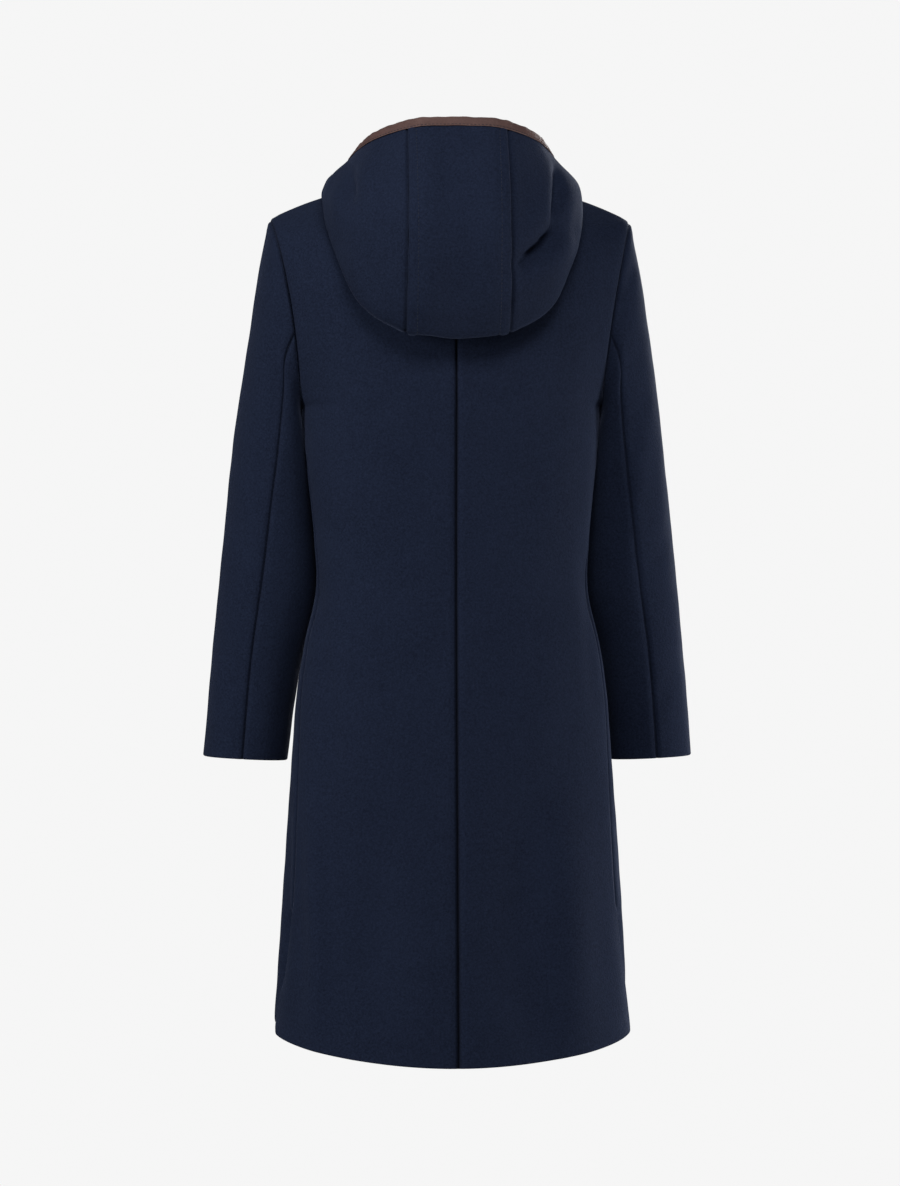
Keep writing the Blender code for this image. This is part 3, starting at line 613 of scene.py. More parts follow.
def border_drop(rows, columns, sewn):
    """(distance from the nearest sewn border, distance from the nearest free one) for every point of a grid.

    sewn holds for top, bottom, first and last a number or an array along that border: 1 sewn, 0 free.
    """
    down, across = np.meshgrid(rows, columns, indexing="ij")
    reach = {"top": down, "bottom": rows[-1] - down, "first": across, "last": columns[-1] - across}
    far = np.full(down.shape, FAR)
    to_sewn, to_free = far.copy(), far.copy()
    for border, distance in reach.items():
        state = np.asarray(sewn.get(border, 0), float)
        if state.ndim:
            state = state[:, None] if border in ("first", "last") else state[None, :]
        state = np.broadcast_to(state, down.shape)
        to_sewn = np.minimum(to_sewn, np.where(state > 0.5, distance, far))
        to_free = np.minimum(to_free, np.where(state > 0.5, far, distance))
    return to_sewn, to_free


def mesh_piece(name, points, faces, material):
    """A smooth mesh that rides on the coat's one body."""
    mesh = bpy.data.meshes.new(name)
    mesh.from_pydata([tuple(p) for p in points], [], [tuple(int(k) for k in f) for f in faces])
    mesh.validate()
    mesh.shade_smooth()
    mesh.materials.append(material)
    piece = bpy.data.objects.new(name, mesh)
    bpy.context.scene.collection.objects.link(piece)
    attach(piece, "root")
    return piece


def paint_seam_shade(piece, values):
    """Keeps how near each point is to a seam, for the finish to paint shade there."""
    seam = piece.data.attributes.new("seam", "FLOAT", "POINT")
    seam.data.foreach_set("value", np.asarray(values, np.float32))


def shell(name, surface, rows, columns, sewn, material, thickness=CLOTH, seed=0):
    """A closed wall on a fine surface: sewn borders sink into a seam and free ones are rounded."""
    normals = normals_of(surface)
    to_sewn, to_free = border_drop(rows, columns, sewn)
    half = thickness / 2
    round_in = 1 - np.clip(to_free / (half + 0.0006), 0, 1)
    rounded = BORDER_LEFT + (1 - BORDER_LEFT) * np.sqrt(1 - round_in**2)
    pucker = 1 + waver(surface, *PUCKER, seed)
    ditch = SEAM_DITCH * pucker * np.exp(-((to_sewn / (0.45 * SEAM_REACH)) ** 2))
    swell = SEAM_SWELL * np.exp(-(((to_sewn - ALLOWANCE / 2) / (ALLOWANCE / 2.6)) ** 2)) * (to_sewn < FAR)
    kind = name.split("_")[0]
    fall = SEAM_FALL.get(kind, 0) * np.exp(-((to_sewn / SEAM_FALL_REACH) ** 2))
    outer = surface + normals * (half * rounded - ditch - fall + swell)[..., None]
    inner = surface - normals * (half * rounded + fall)[..., None]
    height, width = surface.shape[:2]
    at = np.arange(height * width).reshape(height, width)
    quads = np.stack([at[:-1, :-1], at[:-1, 1:], at[1:, 1:], at[1:, :-1]], axis=-1).reshape(-1, 4)
    loop = np.concatenate([at[:, 0], at[-1, 1:], at[-2::-1, -1], at[0, -2:0:-1]])
    following = np.roll(loop, -1)
    count = height * width
    rim = np.stack([following, loop, loop + count, following + count], axis=-1)
    points = np.concatenate([outer.reshape(-1, 3), inner.reshape(-1, 3)])
    faces = np.concatenate([quads[:, ::-1], quads + count, rim[:, ::-1]])
    piece = mesh_piece(name, points, faces, material)
    # painted shade: the colour darkens near the sewn borders, where the seam's ditch lies in shade
    near = np.exp(-((to_sewn / SEAM_PAINTED_SHADE_REACH) ** 2)).ravel() * SEAM_PAINTED_SHADE.get(kind, 0)
    paint_seam_shade(piece, np.concatenate([near, near]))
    return piece


def lofted(sections):
    """(points, faces) of a closed bar through a row of sections with the same number of points."""
    sections = np.array(sections)
    turns, count = sections.shape[:2]
    at = np.arange(turns * count).reshape(turns, count)
    after = np.roll(at, -1, axis=1)
    sides = np.stack([at[:-1], after[:-1], after[1:], at[1:]], axis=-1).reshape(-1, 4)
    faces = [tuple(f) for f in sides] + [tuple(at[0][::-1]), tuple(at[-1])]
    return sections.reshape(-1, 3), faces


def facing_right(points, faces):
    """The faces, turned so that the closed mesh encloses a positive volume."""
    volume = 0.0
    for face in faces:
        for b, c in zip(face[1:], face[2:]):
            volume += np.dot(points[face[0]], np.cross(points[b], points[c]))
    return faces if volume > 0 else [tuple(reversed(f)) for f in faces]


def joined(parts):
    """Several (points, faces) as one, each facing out."""
    points, faces, first = [], [], 0
    for some_points, some_faces in parts:
        centre = np.mean(some_points, axis=0)
        some_faces = facing_right(some_points - centre, some_faces)
        points.append(some_points)
        faces += [tuple(k + first for k in face) for face in some_faces]
        first += len(some_points)
    return np.concatenate(points), faces


def bar_piece(name, sections, material):
    """A piece made of one closed bar."""
    points, faces = lofted(sections)
    return mesh_piece(name, points, facing_right(points - points.mean(axis=0), faces), material)


def circle(count):
    """The angles of so many points evenly round a circle."""
    return [2 * pi * k / count for k in range(count)]


def evenly(path, normals, step):
    """Points a step apart along a path, and its normals there."""
    lengths = lengths_along(path)
    count = max(int(lengths[-1] / step), 1)
    at = np.arange(0.5, count) * lengths[-1] / count
    return [
        np.stack([np.interp(at, lengths, item[:, k]) for k in range(3)], axis=1)
        for item in (path, normals)
    ]


STITCH = 0.0030
STITCH_GAP = 0.0012
THREAD_RADIUS = 0.00032
STITCH_SINK = 0.00005
STITCH_FORM = ((-1, 0.35), (-0.75, 0.9), (0, 1.0), (0.75, 0.9), (1, 0.35))  # place from -1 to 1, thickness


def stitches(path, normals):
    """The (points, faces) of every stitch along a path that lies on a face."""
    centres, ups = evenly(path, normals, STITCH + STITCH_GAP)
    ahead = np.gradient(centres, axis=0) if len(centres) > 1 else np.array([path[-1] - path[0]])
    parts = []
    for centre, up, along in zip(centres, ups, ahead):
        along, up = unit(along), unit(up)
        across = np.cross(along, up)
        rings = []
        for t, swell in STITCH_FORM:
            height = THREAD_RADIUS * (0.9 - 1.1 * t * t) - STITCH_SINK
            middle = centre + along * t * STITCH / 2 + up * height
            rings.append([
                middle + THREAD_RADIUS * swell * (cos(a) * across + sin(a) * up) for a in circle(6)
            ])
        parts.append(lofted(rings))
    return parts


def thread_piece(name, paths, material):
    """One piece of all the stitches along these paths."""
    parts = [part for path, normals in paths for part in stitches(path, normals)]
    points, faces = joined(parts)
    return mesh_piece(name, points, faces, material)


# ---------------------------------------------------------------- finishes

def group_of(name, inputs, outputs):
    """A new shared effect, with the nodes that its inputs come from and its outputs go to."""
    tree = bpy.data.node_groups.new(name, "ShaderNodeTree")
    for label, kind, value in inputs:
        socket = tree.interface.new_socket(label, in_out="INPUT", socket_type=kind)
        if value is not None:
            socket.default_value = value
    for label, kind in outputs:
        tree.interface.new_socket(label, in_out="OUTPUT", socket_type=kind)
    return tree, tree.nodes.new("NodeGroupInput"), tree.nodes.new("NodeGroupOutput")


def node(tree, kind, links=None, **values):
    """A node with these settings; links gives what feeds its sockets, by name or number."""
    made = tree.nodes.new(kind)
    for key, value in values.items():
        setattr(made, key, value)
    for socket, source in (links or {}).items():
        if isinstance(source, bpy.types.NodeSocket):
            tree.links.new(source, made.inputs[socket])
        else:
            made.inputs[socket].default_value = source
    return made


def noise(tree, place, scale, **links):
    return node(tree, "ShaderNodeTexNoise", {"Vector": place, "Scale": scale, **links}).outputs["Fac"]


def maths(tree, what, first, second, clamp=False):
    return node(tree, "ShaderNodeMath", {0: first, 1: second}, operation=what, use_clamp=clamp).outputs[0]


def share_of(tree, source, share):
    return maths(tree, "MULTIPLY", source, share)


def sum_of(tree, first, first_share, second, second_share):
    """Two sources added in these shares."""
    return maths(tree, "ADD", share_of(tree, first, first_share), share_of(tree, second, second_share))


def spread(tree, source, low, high, to_low=0.0, to_high=1.0):
    """A source's range from low to high, spread over another range."""
    links = {"Value": source, "From Min": low, "From Max": high, "To Min": to_low, "To Max": to_high}
    return node(tree, "ShaderNodeMapRange", links).outputs[0]


def mixed(tree, factor, first, second):
    """A colour between two, by the colour sockets of the mixing node."""
    return node(tree, "ShaderNodeMix", {0: factor, 6: first, 7: second}, data_type="RGBA").outputs[2]


def grain_group():
    """Uneven grain at one size: a mask from 0 to 1, with a coarser mask that fades it in and out."""
    tree, given, result = group_of(
        "Uneven grain",
        (("Place", "NodeSocketVector", None), ("Fineness", "NodeSocketFloat", 500.0),
         ("Patchiness", "NodeSocketFloat", 0.4)),
        (("Grain", "NodeSocketFloat"), ("Cloud", "NodeSocketFloat")),
    )
    place, fineness, patchiness = (given.outputs[label] for label in ("Place", "Fineness", "Patchiness"))
    fine = noise(tree, place, fineness, Detail=3.0, Roughness=0.62)
    coarse = noise(tree, place, share_of(tree, fineness, 0.045), Detail=4.0)
    cloud = spread(tree, coarse, 0.32, 0.68)
    grain = spread(tree, fine, 0.28, 0.72)
    held = maths(tree, "SUBTRACT", 1.0, maths(tree, "MULTIPLY", patchiness, cloud))
    tree.links.new(maths(tree, "MULTIPLY", grain, held), result.inputs["Grain"])
    tree.links.new(cloud, result.inputs["Cloud"])
    return tree


def wear_group():
    """Where edges rub: a mask from the surface's own convexity, broken up."""
    tree, given, result = group_of(
        "Rubbed edges",
        (("Place", "NodeSocketVector", None), ("Reach", "NodeSocketFloat", 0.06)),
        (("Rubbed", "NodeSocketFloat"),),
    )
    shape = node(tree, "ShaderNodeNewGeometry").outputs["Pointiness"]
    above = maths(tree, "ADD", 0.5, given.outputs["Reach"])
    edge = spread(tree, shape, 0.505, above)
    broken = spread(tree, noise(tree, given.outputs["Place"], 240.0, Detail=3.0), 0.35, 0.65)
    tree.links.new(maths(tree, "MULTIPLY", edge, broken, clamp=True), result.inputs["Rubbed"])
    return tree


def new_finish(name):
    material = bpy.data.materials.new(name)
    material.use_nodes = True
    tree = material.node_tree
    shader = tree.nodes["Principled BSDF"]
    place = node(tree, "ShaderNodeTexCoord").outputs["Object"]
    return material, tree, shader, place


def placed(tree, group, **links):
    """The outputs of a shared group in this finish."""
    return node(tree, "ShaderNodeGroup", links, node_tree=group).outputs


def bumped(tree, shader, *layers):
    """Feeds the shader's normal from (height, strength, distance) layers, the first one lowest."""
    normal = None
    for height, strength, distance in layers:
        links = {"Height": height, "Strength": strength, "Distance": distance}
        if normal is not None:
            links["Normal"] = normal
        normal = node(tree, "ShaderNodeBump", links).outputs["Normal"]
    tree.links.new(normal, shader.inputs["Normal"])


def melton_finish(grain):
    """Milled wool: dark navy with a cloudy, felted face and a short nap that catches grazing light, and
    painted shade along its seams.
    """
    material, tree, shader, place = new_finish("navy_melton")
    felt = placed(tree, grain, Place=place, Fineness=420.0, Patchiness=0.12)
    nap = placed(tree, grain, Place=place, Fineness=1250.0, Patchiness=0.10)
    stretched = {"Vector": place, "Rotation": (0.3, 0.5, 0.2), "Scale": (1.0, 1.0, 0.28)}
    fibre_place = node(tree, "ShaderNodeMapping", stretched).outputs[0]
    fibres = noise(tree, fibre_place, 900.0, Detail=2.0, Distortion=1.4)
    tone = sum_of(tree, felt["Grain"], 0.55, nap["Grain"], 0.45)
    tone = sum_of(tree, tone, 0.9, felt["Cloud"], 0.10)
    color = mixed(tree, tone, (0.0034, 0.0056, 0.0149, 1), (0.0181, 0.0272, 0.0585, 1))
    pale = spread(tree, fibres, 0.66, 0.80)
    color = mixed(tree, share_of(tree, pale, 0.35), color, (0.030, 0.040, 0.072, 1))
    # painted shade in the seams: the colour is mixed toward near black by the seam attribute
    seam = node(tree, "ShaderNodeAttribute", None, attribute_name="seam").outputs["Fac"]
    color = mixed(tree, seam, color, (0.0015, 0.0020, 0.0050, 1))
    tree.links.new(color, shader.inputs["Base Color"])
    shader.inputs["Roughness"].default_value = 0.95
    shader.inputs["Specular IOR Level"].default_value = 0.12
    shader.inputs["Sheen Weight"].default_value = 0.09
    shader.inputs["Sheen Roughness"].default_value = 0.35
    shader.inputs["Sheen Tint"].default_value = (0.42, 0.52, 0.86, 1)
    bumped(tree, shader, (felt["Grain"], 0.30, 0.0010), (fibres, 0.20, 0.0005), (nap["Grain"], 0.25, 0.0004))
    return material


def thread_finish(grain):
    material, tree, shader, place = new_finish("navy_thread")
    twist = placed(tree, grain, Place=place, Fineness=1800.0, Patchiness=0.2)
    color = mixed(tree, twist["Grain"], (0.003, 0.0045, 0.011, 1), (0.012, 0.017, 0.034, 1))
    tree.links.new(color, shader.inputs["Base Color"])
    shader.inputs["Roughness"].default_value = 0.8
    bumped(tree, shader, (twist["Grain"], 0.4, 0.0002))
    return material


def leather_finish(grain, wear):
    """Soft brown leather: pebbled grain, cloudy dye and paler rubbed edges."""
    dark, light, rubbed_color = (0.070, 0.034, 0.030, 1), (0.135, 0.072, 0.062, 1), (0.20, 0.12, 0.105, 1)
    smooth, rough = 0.58, 0.74
    material, tree, shader, place = new_finish("brown_leather_strip")
    pores = node(tree, "ShaderNodeTexVoronoi", {"Vector": place, "Scale": 1300.0, "Randomness": 1.0},
                 feature="DISTANCE_TO_EDGE").outputs["Distance"]
    dye = placed(tree, grain, Place=place, Fineness=700.0, Patchiness=0.5)
    tone = sum_of(tree, dye["Cloud"], 0.6, dye["Grain"], 0.4)
    color = mixed(tree, tone, dark, light)
    edges = placed(tree, wear, Place=place, Reach=0.07)
    color = mixed(tree, share_of(tree, edges["Rubbed"], 0.6), color, rubbed_color)
    tree.links.new(color, shader.inputs["Base Color"])
    uneven = spread(tree, dye["Grain"], 0.0, 1.0, rough, smooth)
    tree.links.new(uneven, shader.inputs["Roughness"])
    shader.inputs["Specular IOR Level"].default_value = 0.4
    pebble = spread(tree, pores, 0.0, 0.28)
    bumped(tree, shader, (dye["Cloud"], 0.3, 0.0006), (pebble, 0.5, 0.0003))
    return material


def horn_finish(grain, wear):
    """Polished dark horn: long honey streaks under a clear polish, with fine scratches."""
    material, tree, shader, place = new_finish("dark_horn")
    along = node(tree, "ShaderNodeMapping", {"Vector": place, "Scale": (0.16, 1.0, 1.0)}).outputs[0]
    streaks = noise(tree, along, 420.0, Detail=5.0, Distortion=0.8)
    blush = placed(tree, grain, Place=place, Fineness=900.0, Patchiness=0.3)
    streak = spread(tree, streaks, 0.46, 0.66)
    color = mixed(tree, streak, (0.020, 0.010, 0.006, 1), (0.130, 0.062, 0.026, 1))
    color = mixed(tree, share_of(tree, blush["Cloud"], 0.35), color, (0.058, 0.026, 0.012, 1))
    edges = placed(tree, wear, Place=place, Reach=0.10)
    color = mixed(tree, share_of(tree, edges["Rubbed"], 0.3), color, (0.20, 0.12, 0.06, 1))
    tree.links.new(color, shader.inputs["Base Color"])
    tree.links.new(spread(tree, blush["Grain"], 0.0, 1.0, 0.22, 0.38), shader.inputs["Roughness"])
    shader.inputs["Coat Weight"].default_value = 0.35
    shader.inputs["Coat Roughness"].default_value = 0.12
    bumped(tree, shader, (streaks, 0.12, 0.0003), (blush["Grain"], 0.06, 0.0002))
    return material


def floor_finish():
    material, tree, shader, place = new_finish("pale_floor")
    tone, paler = FLOOR_TONE, FLOOR_TONE * 1.02
    color = mixed(tree, noise(tree, place, 6.0, Detail=2.0), (tone, tone, tone, 1), (paler, paler, paler, 1))
    tree.links.new(color, shader.inputs["Base Color"])
    shader.inputs["Roughness"].default_value = 0.8
    return material


# ---------------------------------------------------------------- the coat

WAVES = ((0.11, 0.0007, 3), (0.045, 0.00025, 4))  # size, height and seed of the cloth's unevenness
HOOD_WAVES = ((0.05, 0.0005, 5),)
CALM_ROWS = (0.03, 0.05)  # the unevenness is whole this far from the top and from the bottom
CALM_COLUMNS = (0.025, 0.025)
HOOD_CALM = (0.02, 0.02)
ALL_SEWN = {"top": 1, "bottom": 0, "first": 1, "last": 1}  # for a panel with only its lowest border free
SIDE_X = 0.1  # a border that lies farther out than this is at the side and not at the centre
STRIP_HEIGHT = 0.0008  # of the hood's centre panel over its seam allowances
ROW_BY_ARMHOLE = 30


def body_panels():
    """Every panel of the body and the sleeves by name, facing out."""
    back, front, lifted = body_panel("back"), body_panel("front"), body_panel("front", lifted=True)
    top, under = sleeve_panel("top"), sleeve_panel("under")
    grids = {
        "back_left": back[:, ::-1],
        "back_right": mirrored(back[:, ::-1]),
        "front_left": front,
        "front_right": mirrored(lifted),
        "sleeve_left_top": top,
        "sleeve_left_under": under,
        "sleeve_right_top": mirrored(top),
        "sleeve_right_under": mirrored(under),
    }
    return {name: facing_out(name, grid) for name, grid in grids.items()}


def hood_panels(tree):
    """The hood's three panels, the whole hood, and the two columns of it where its seams are."""
    back, front, lifted = body_panel("back"), body_panel("front"), body_panel("front", lifted=True)
    count, overlap = NECK_COLUMNS + 1, len(OVERLAP_COLUMNS)
    halves = []
    for side, panel in ((1, front), (-1, lifted)):
        front_neck = panel[0, overlap : overlap + count]
        neck = np.concatenate([back[0, :count], front_neck[-2::-1]]) * np.array([side, 1, 1])
        halves.append(hood_grid(neck, tree, side))
    left, right = halves
    whole = facing_out("hood_centre", np.concatenate([right[:, :0:-1], left], axis=1))
    middle = whole.shape[1] // 2
    seams = [middle - HOOD_SEAM_PLACE, middle + HOOD_SEAM_PLACE]
    first, last = ("left", "right") if whole[-1, 4, 0] > 0 else ("right", "left")
    panels = {
        f"hood_side_{first}": whole[:, : seams[0] + 1],
        "hood_centre": whole[:, seams[0] : seams[1] + 1],
        f"hood_side_{last}": whole[:, seams[1] :],
    }
    return panels, whole, seams


def cover(piece, node_name):
    """Hides the solid with this name, which the piece stands in for."""
    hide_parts(node_name)


def sewn_borders(name, surface):
    """Which borders of a panel are sewn: 1 sewn, 0 free, one number or one for each line."""
    if name.startswith("sleeve"):
        return ALL_SEWN
    open_side = {}
    for border, line in (("first", surface[:, 0]), ("last", surface[:, -1])):
        if np.abs(line[len(line) // 2, 0]) > SIDE_X:
            open_side[border] = (line[:, 2] > VENT_TOP).astype(float)
        else:
            open_side[border] = 1.0 if name.startswith("back") else 0.0
    return {"top": 1, "bottom": 0, **open_side}


def sunk_at_vent(surface, normals, columns):
    """A front whose edge lies under the back where the side is open."""
    from_edge = columns if abs(surface[-1, 0, 0]) > SIDE_X else columns[-1] - columns
    lapped = 1 - eased((from_edge - VENT_LAP) / VENT_BLEND)
    opened = eased((VENT_TOP + VENT_START - surface[:, :, 2]) / VENT_BLEND)
    sunk = surface - normals * (VENT_SINK * opened * lapped[None, :])[..., None]
    lowest = eased((VENT_RISE_HEIGHT - surface[:, :, 2] + surface[-1, :, 2]) / VENT_RISE_HEIGHT)
    beside = eased((VENT_RISE_FAR - from_edge) / (VENT_RISE_FAR - VENT_RISE_NEAR))
    sunk[:, :, 2] += VENT_RISE * lowest * beside[None, :]
    return sunk


def calm_by(places, first, last):
    """From 0 to 1: how far each row or column is out of reach of the two borders."""
    return np.minimum(eased(places / first), eased((places[-1] - places) / last))


def unevenness(surface, calm, waves):
    """How far the cloth's own unevenness lifts each point, calmed near the borders."""
    return calm * sum(waver(surface, *wave) for wave in waves)


def make_cloth(name, grid, material, seed):
    """A panel of the body or a sleeve, with its folds."""
    surface, rows, columns = refined(grid)
    normals = normals_of(surface)
    lift = fold_field(surface, normals, FOLDS, name)
    calm = calm_by(rows, *CALM_ROWS)[:, None] * calm_by(columns, *CALM_COLUMNS)[None, :]
    lift += unevenness(surface, calm, WAVES)
    surface = surface + normals * lift[..., None]
    sewn = sewn_borders(name, surface)
    if name.startswith("front"):
        surface = sunk_at_vent(surface, normals, columns)
    piece = shell(f"{name}_cloth", surface, rows, columns, sewn, material, seed=seed + 90)
    cover(piece, name)
    return surface


def strips_over_seams(surface, columns):
    """The panel raised in a narrow strip beside both its seams, down to the lines of topstitching."""
    lift = np.zeros(len(columns))
    for away in (columns, columns[-1] - columns):
        plateau = eased((away - 0.0005) / 0.002) * (1 - eased((away - (ALLOWANCE - 0.003)) / 0.0035))
        groove = np.exp(-(((away - ALLOWANCE) / 0.0014) ** 2))
        lift += STRIP_HEIGHT * plateau - 0.6 * STRIP_HEIGHT * groove
    return surface + normals_of(surface) * lift[None, :, None]


def bind_armhole(side, surfaces, melton):
    """The armhole's allowances, pressed flat inside: one strip that follows the seam all round."""
    edges, inward, normals = [], [], []
    for panel in (surfaces[f"back_{side}"], surfaces[f"front_{side}"]):
        beside_hole = panel[ROW_BY_ARMHOLE]
        at_side, beside = (0, 4) if abs(beside_hole[0, 0]) > abs(beside_hole[-1, 0]) else (-1, -5)
        edges.append(panel[:, at_side])
        inward.append(panel[:, beside] - panel[:, at_side])
        normals.append(normals_of(panel)[:, beside])
    edges, inward, normals = (np.concatenate(item) for item in (edges, inward, normals))
    top, under = surfaces[f"sleeve_{side}_top"], surfaces[f"sleeve_{side}_under"]
    turned = np.linalg.norm(top[0, -1] - under[0, 0]) > np.linalg.norm(top[0, -1] - under[0, -1])
    around = []
    for panel, order in ((top, 1), (under, -1 if turned else 1)):
        outs = normals_of(panel)
        picked = range(3, panel.shape[1] - 3, 2)[::order]
        around += [(panel[:, j], outs[:, j]) for j in picked]
    sections = []
    for line, out in around + around[:1]:
        near = int(np.argmin(np.linalg.norm(edges - line[0], axis=1)))
        body_side = edges[near] + unit(inward[near]) * ALLOWANCE - normals[near] * ALLOWANCE_DEPTH
        middle = line[0] - unit(out[1] + normals[near]) * ALLOWANCE_DEPTH
        sections.append([body_side, middle, line[5] - out[5] * ALLOWANCE_DEPTH])
    surface, rows, columns = refined(np.array(sections), STRIP_WEAVE_STEP)
    name = f"armhole_{side}_allowance"
    piece = shell(name, surface, rows, columns, {}, melton, ALLOWANCE_THICKNESS)


def make_hood_panel(name, grid, melton, thread, seed):
    """A panel of the hood; the centre one has raised strips over its allowances, held by topstitching."""
    surface, rows, columns = refined(grid, HOOD_WEAVE_STEP)
    normals = normals_of(surface)
    lift = fold_field(surface, normals, HOOD_FOLDS, name)
    lift += unevenness(surface, calm_by(rows, *HOOD_CALM)[:, None], HOOD_WAVES)
    surface = surface + normals * lift[..., None]
    if name == "hood_centre":
        surface = strips_over_seams(surface, columns)
    piece = shell(f"{name}_cloth", surface, rows, columns, ALL_SEWN, melton, seed=seed)
    cover(piece, name)
    if name == "hood_centre":
        outward = normals_of(surface)
        keep = rows < rows[-1] - BINDING_DEPTH
        paths = []
        for away in (columns, columns[-1] - columns):
            j = int(np.argmin(np.abs(away - ALLOWANCE)))
            paths.append((surface[keep, j] + outward[keep, j] * CLOTH / 2, outward[keep, j]))
        thread_piece("hood_topstitching", paths, thread)


def build_cloth(melton, thread):
    """Makes every cloth panel; gives the panels' surfaces, the whole hood and its two seams' columns."""
    grids = body_panels()
    surfaces = {
        name: make_cloth(name, grid, melton, seed) for seed, (name, grid) in enumerate(grids.items())
    }
    for side in ("left", "right"):
        bind_armhole(side, surfaces, melton)
    body = tree_of([grids[name] for name in ("back_left", "back_right", "front_left", "front_right")])
    hood, whole, seams = hood_panels(body)
    for seed, (name, grid) in enumerate(hood.items(), 20):
        make_hood_panel(name, grid, melton, thread, seed)
    return surfaces, whole, seams


RIM_POINTS = 240  # sections of the binding
RIM_STITCHES_UP = 0.0024  # from the binding's foot
STITCH_GROOVE = 0.0003
RIM_BUMP = (0.0007, 0.005)  # how far the binding rises over a hood seam, and how far along it
RIM_WAVE = 0.00018
RIM_WAVE_RATES = (150, 260, 420)


def bind_rim(whole, seams, leather, thread):
    """The leather folded over the hood's rim, with its row of stitches."""
    columns = spacing_of(whole, 1)
    at = np.linspace(0, columns[-1], RIM_POINTS)
    foot, rim = (smooth_rows(columns, whole[k], at) for k in (-2, -1))
    outs = smooth_rows(columns, normals_of(whole)[-1], at)
    outs /= np.linalg.norm(outs, axis=1, keepdims=True)
    clear = CLOTH / 2 + 0.0003
    face = clear + LEATHER
    sections, line, ups = [], [], []
    phases = np.random.default_rng(5).uniform(0, 2 * pi, 3)
    for s, low, high, out in zip(at, foot, rim, outs):
        tall, up = np.linalg.norm(high - low), unit(high - low)
        out = unit(out - up * out.dot(up))
        bump = sum(RIM_BUMP[0] * np.exp(-(((s - columns[k]) / RIM_BUMP[1]) ** 2)) for k in seams)
        wave = RIM_WAVE * sum(np.sin(s * rate + phase) for rate, phase in zip(RIM_WAVE_RATES, phases))
        swell = bump + wave
        full = face + swell
        # (up the rim, out from the cloth's middle): the outer half, then its mirror, then the inner side
        contour = [
            (0.0012, clear + 0.0002),
            (0.0006, clear + 0.6 * LEATHER),
            (0.0012, face + swell * 0.3),
            (RIM_STITCHES_UP, face - STITCH_GROOVE),
            (0.0040, full),
            (tall * 0.75, full + 0.0002),
        ]
        contour += [(tall + full * sin(a) * 0.9, full * cos(a)) for a in (0.2, 0.6, 1.0, 1.4)]
        contour += [(u, -v) for u, v in reversed(contour)]
        inner = [(tall + clear * sin(a), clear * cos(a)) for a in (pi - 0.2, 2.2, pi / 2, 0.9, 0.2)]
        contour += [(0.0012, -clear)] + inner + [(0.0012, clear)]
        sections.append([low + up * u + out * v for u, v in contour])
        line.append(low + up * RIM_STITCHES_UP + out * (face - STITCH_GROOVE))
        ups.append(out)
    cover(bar_piece("hood_binding_leather", sections, leather), "hood_binding")
    thread_piece("binding_stitches", [(np.array(line), np.array(ups))], thread)


def front_surface(tree, x, z):
    """The point of the fronts' outer side at this x and height, and its direction."""
    hit, normal, _, _ = tree.ray_cast(Vector((x, -0.5, z)), Vector((0, 1, 0)))
    return np.array(hit) + np.array(normal) * CLOTH / 2, np.array(normal)


def make_patch(name, tree, x, z, point_side, leather):
    """A leather patch, a square with one end drawn to a blunt point; gives the path of its stitches."""
    wide, tall = PATCH_SIZE
    rows, columns = PATCH_LINES
    grid, normals = np.empty((rows + 1, columns + 1, 3)), np.empty((rows + 1, columns + 1, 3))
    for i in range(rows + 1):
        for j in range(columns + 1):
            along = j / columns
            taper = 1 - PATCH_TAPER * (along if point_side > 0 else 1 - along) ** 1.5
            place = (x + wide * (along - 0.5), z + tall * (0.5 - i / rows) * taper)
            point, normal = front_surface(tree, *place)
            grid[i, j] = point + normal * (LAYER_GAP + LEATHER / 2)
            normals[i, j] = normal
    lines, across = spacing_of(grid, 0), spacing_of(grid, 1)
    down, over = np.meshgrid(lines, across, indexing="ij")
    edge = np.minimum(np.minimum(down, lines[-1] - down), np.minimum(over, across[-1] - over))
    groove = 0.0004 * np.exp(-(((edge - PATCH_STITCHES_IN) / 0.0012) ** 2))
    pressed = -groove - 0.0003 * (1 - eased(edge / 0.0015))
    grid = grid + normals * pressed[..., None]
    front = grid if normals_of(grid)[2, 2][1] < 0 else grid[:, ::-1]
    cover(shell(f"{name}_leather", front, lines, across, {}, leather, LEATHER), name)
    i, j = (int(np.argmin(np.abs(places - PATCH_STITCHES_IN))) for places in (lines, across))
    low, far = rows - i, columns - j
    ring = [(i, k) for k in range(j, far + 1)] + [(k, far) for k in range(i + 1, low + 1)]
    ring += [(low, k) for k in range(far - 1, j - 1, -1)] + [(k, j) for k in range(low - 1, i - 1, -1)]
    path = np.array([grid[k] + normals[k] * LEATHER / 2 for k in ring])
    return path, np.array([normals[k] for k in ring])


def hairpin(tree, from_x, to_x, z, half, heights):
    """A cord's path: out along one side, round its end and back, with its heights at the start and end."""
    facing = 1 if to_x > from_x else -1
    straight = [from_x + (to_x - facing * half - from_x) * k / 14 for k in range(15)]
    plan = [(x, half) for x in straight]
    turn = [pi * k / 12 for k in range(1, 12)]
    plan += [(to_x - facing * half * (1 - sin(a)), half * cos(a)) for a in turn]
    plan += [(x, -half) for x in reversed(straight)]
    path = []
    for x, rise in plan:
        point, normal = front_surface(tree, x, z + rise)
        blend = eased(((x - from_x) / (to_x - from_x) - 0.15) / 0.6)
        path.append(point + normal * (heights[0] + (heights[1] - heights[0]) * blend))
    return np.array(path)


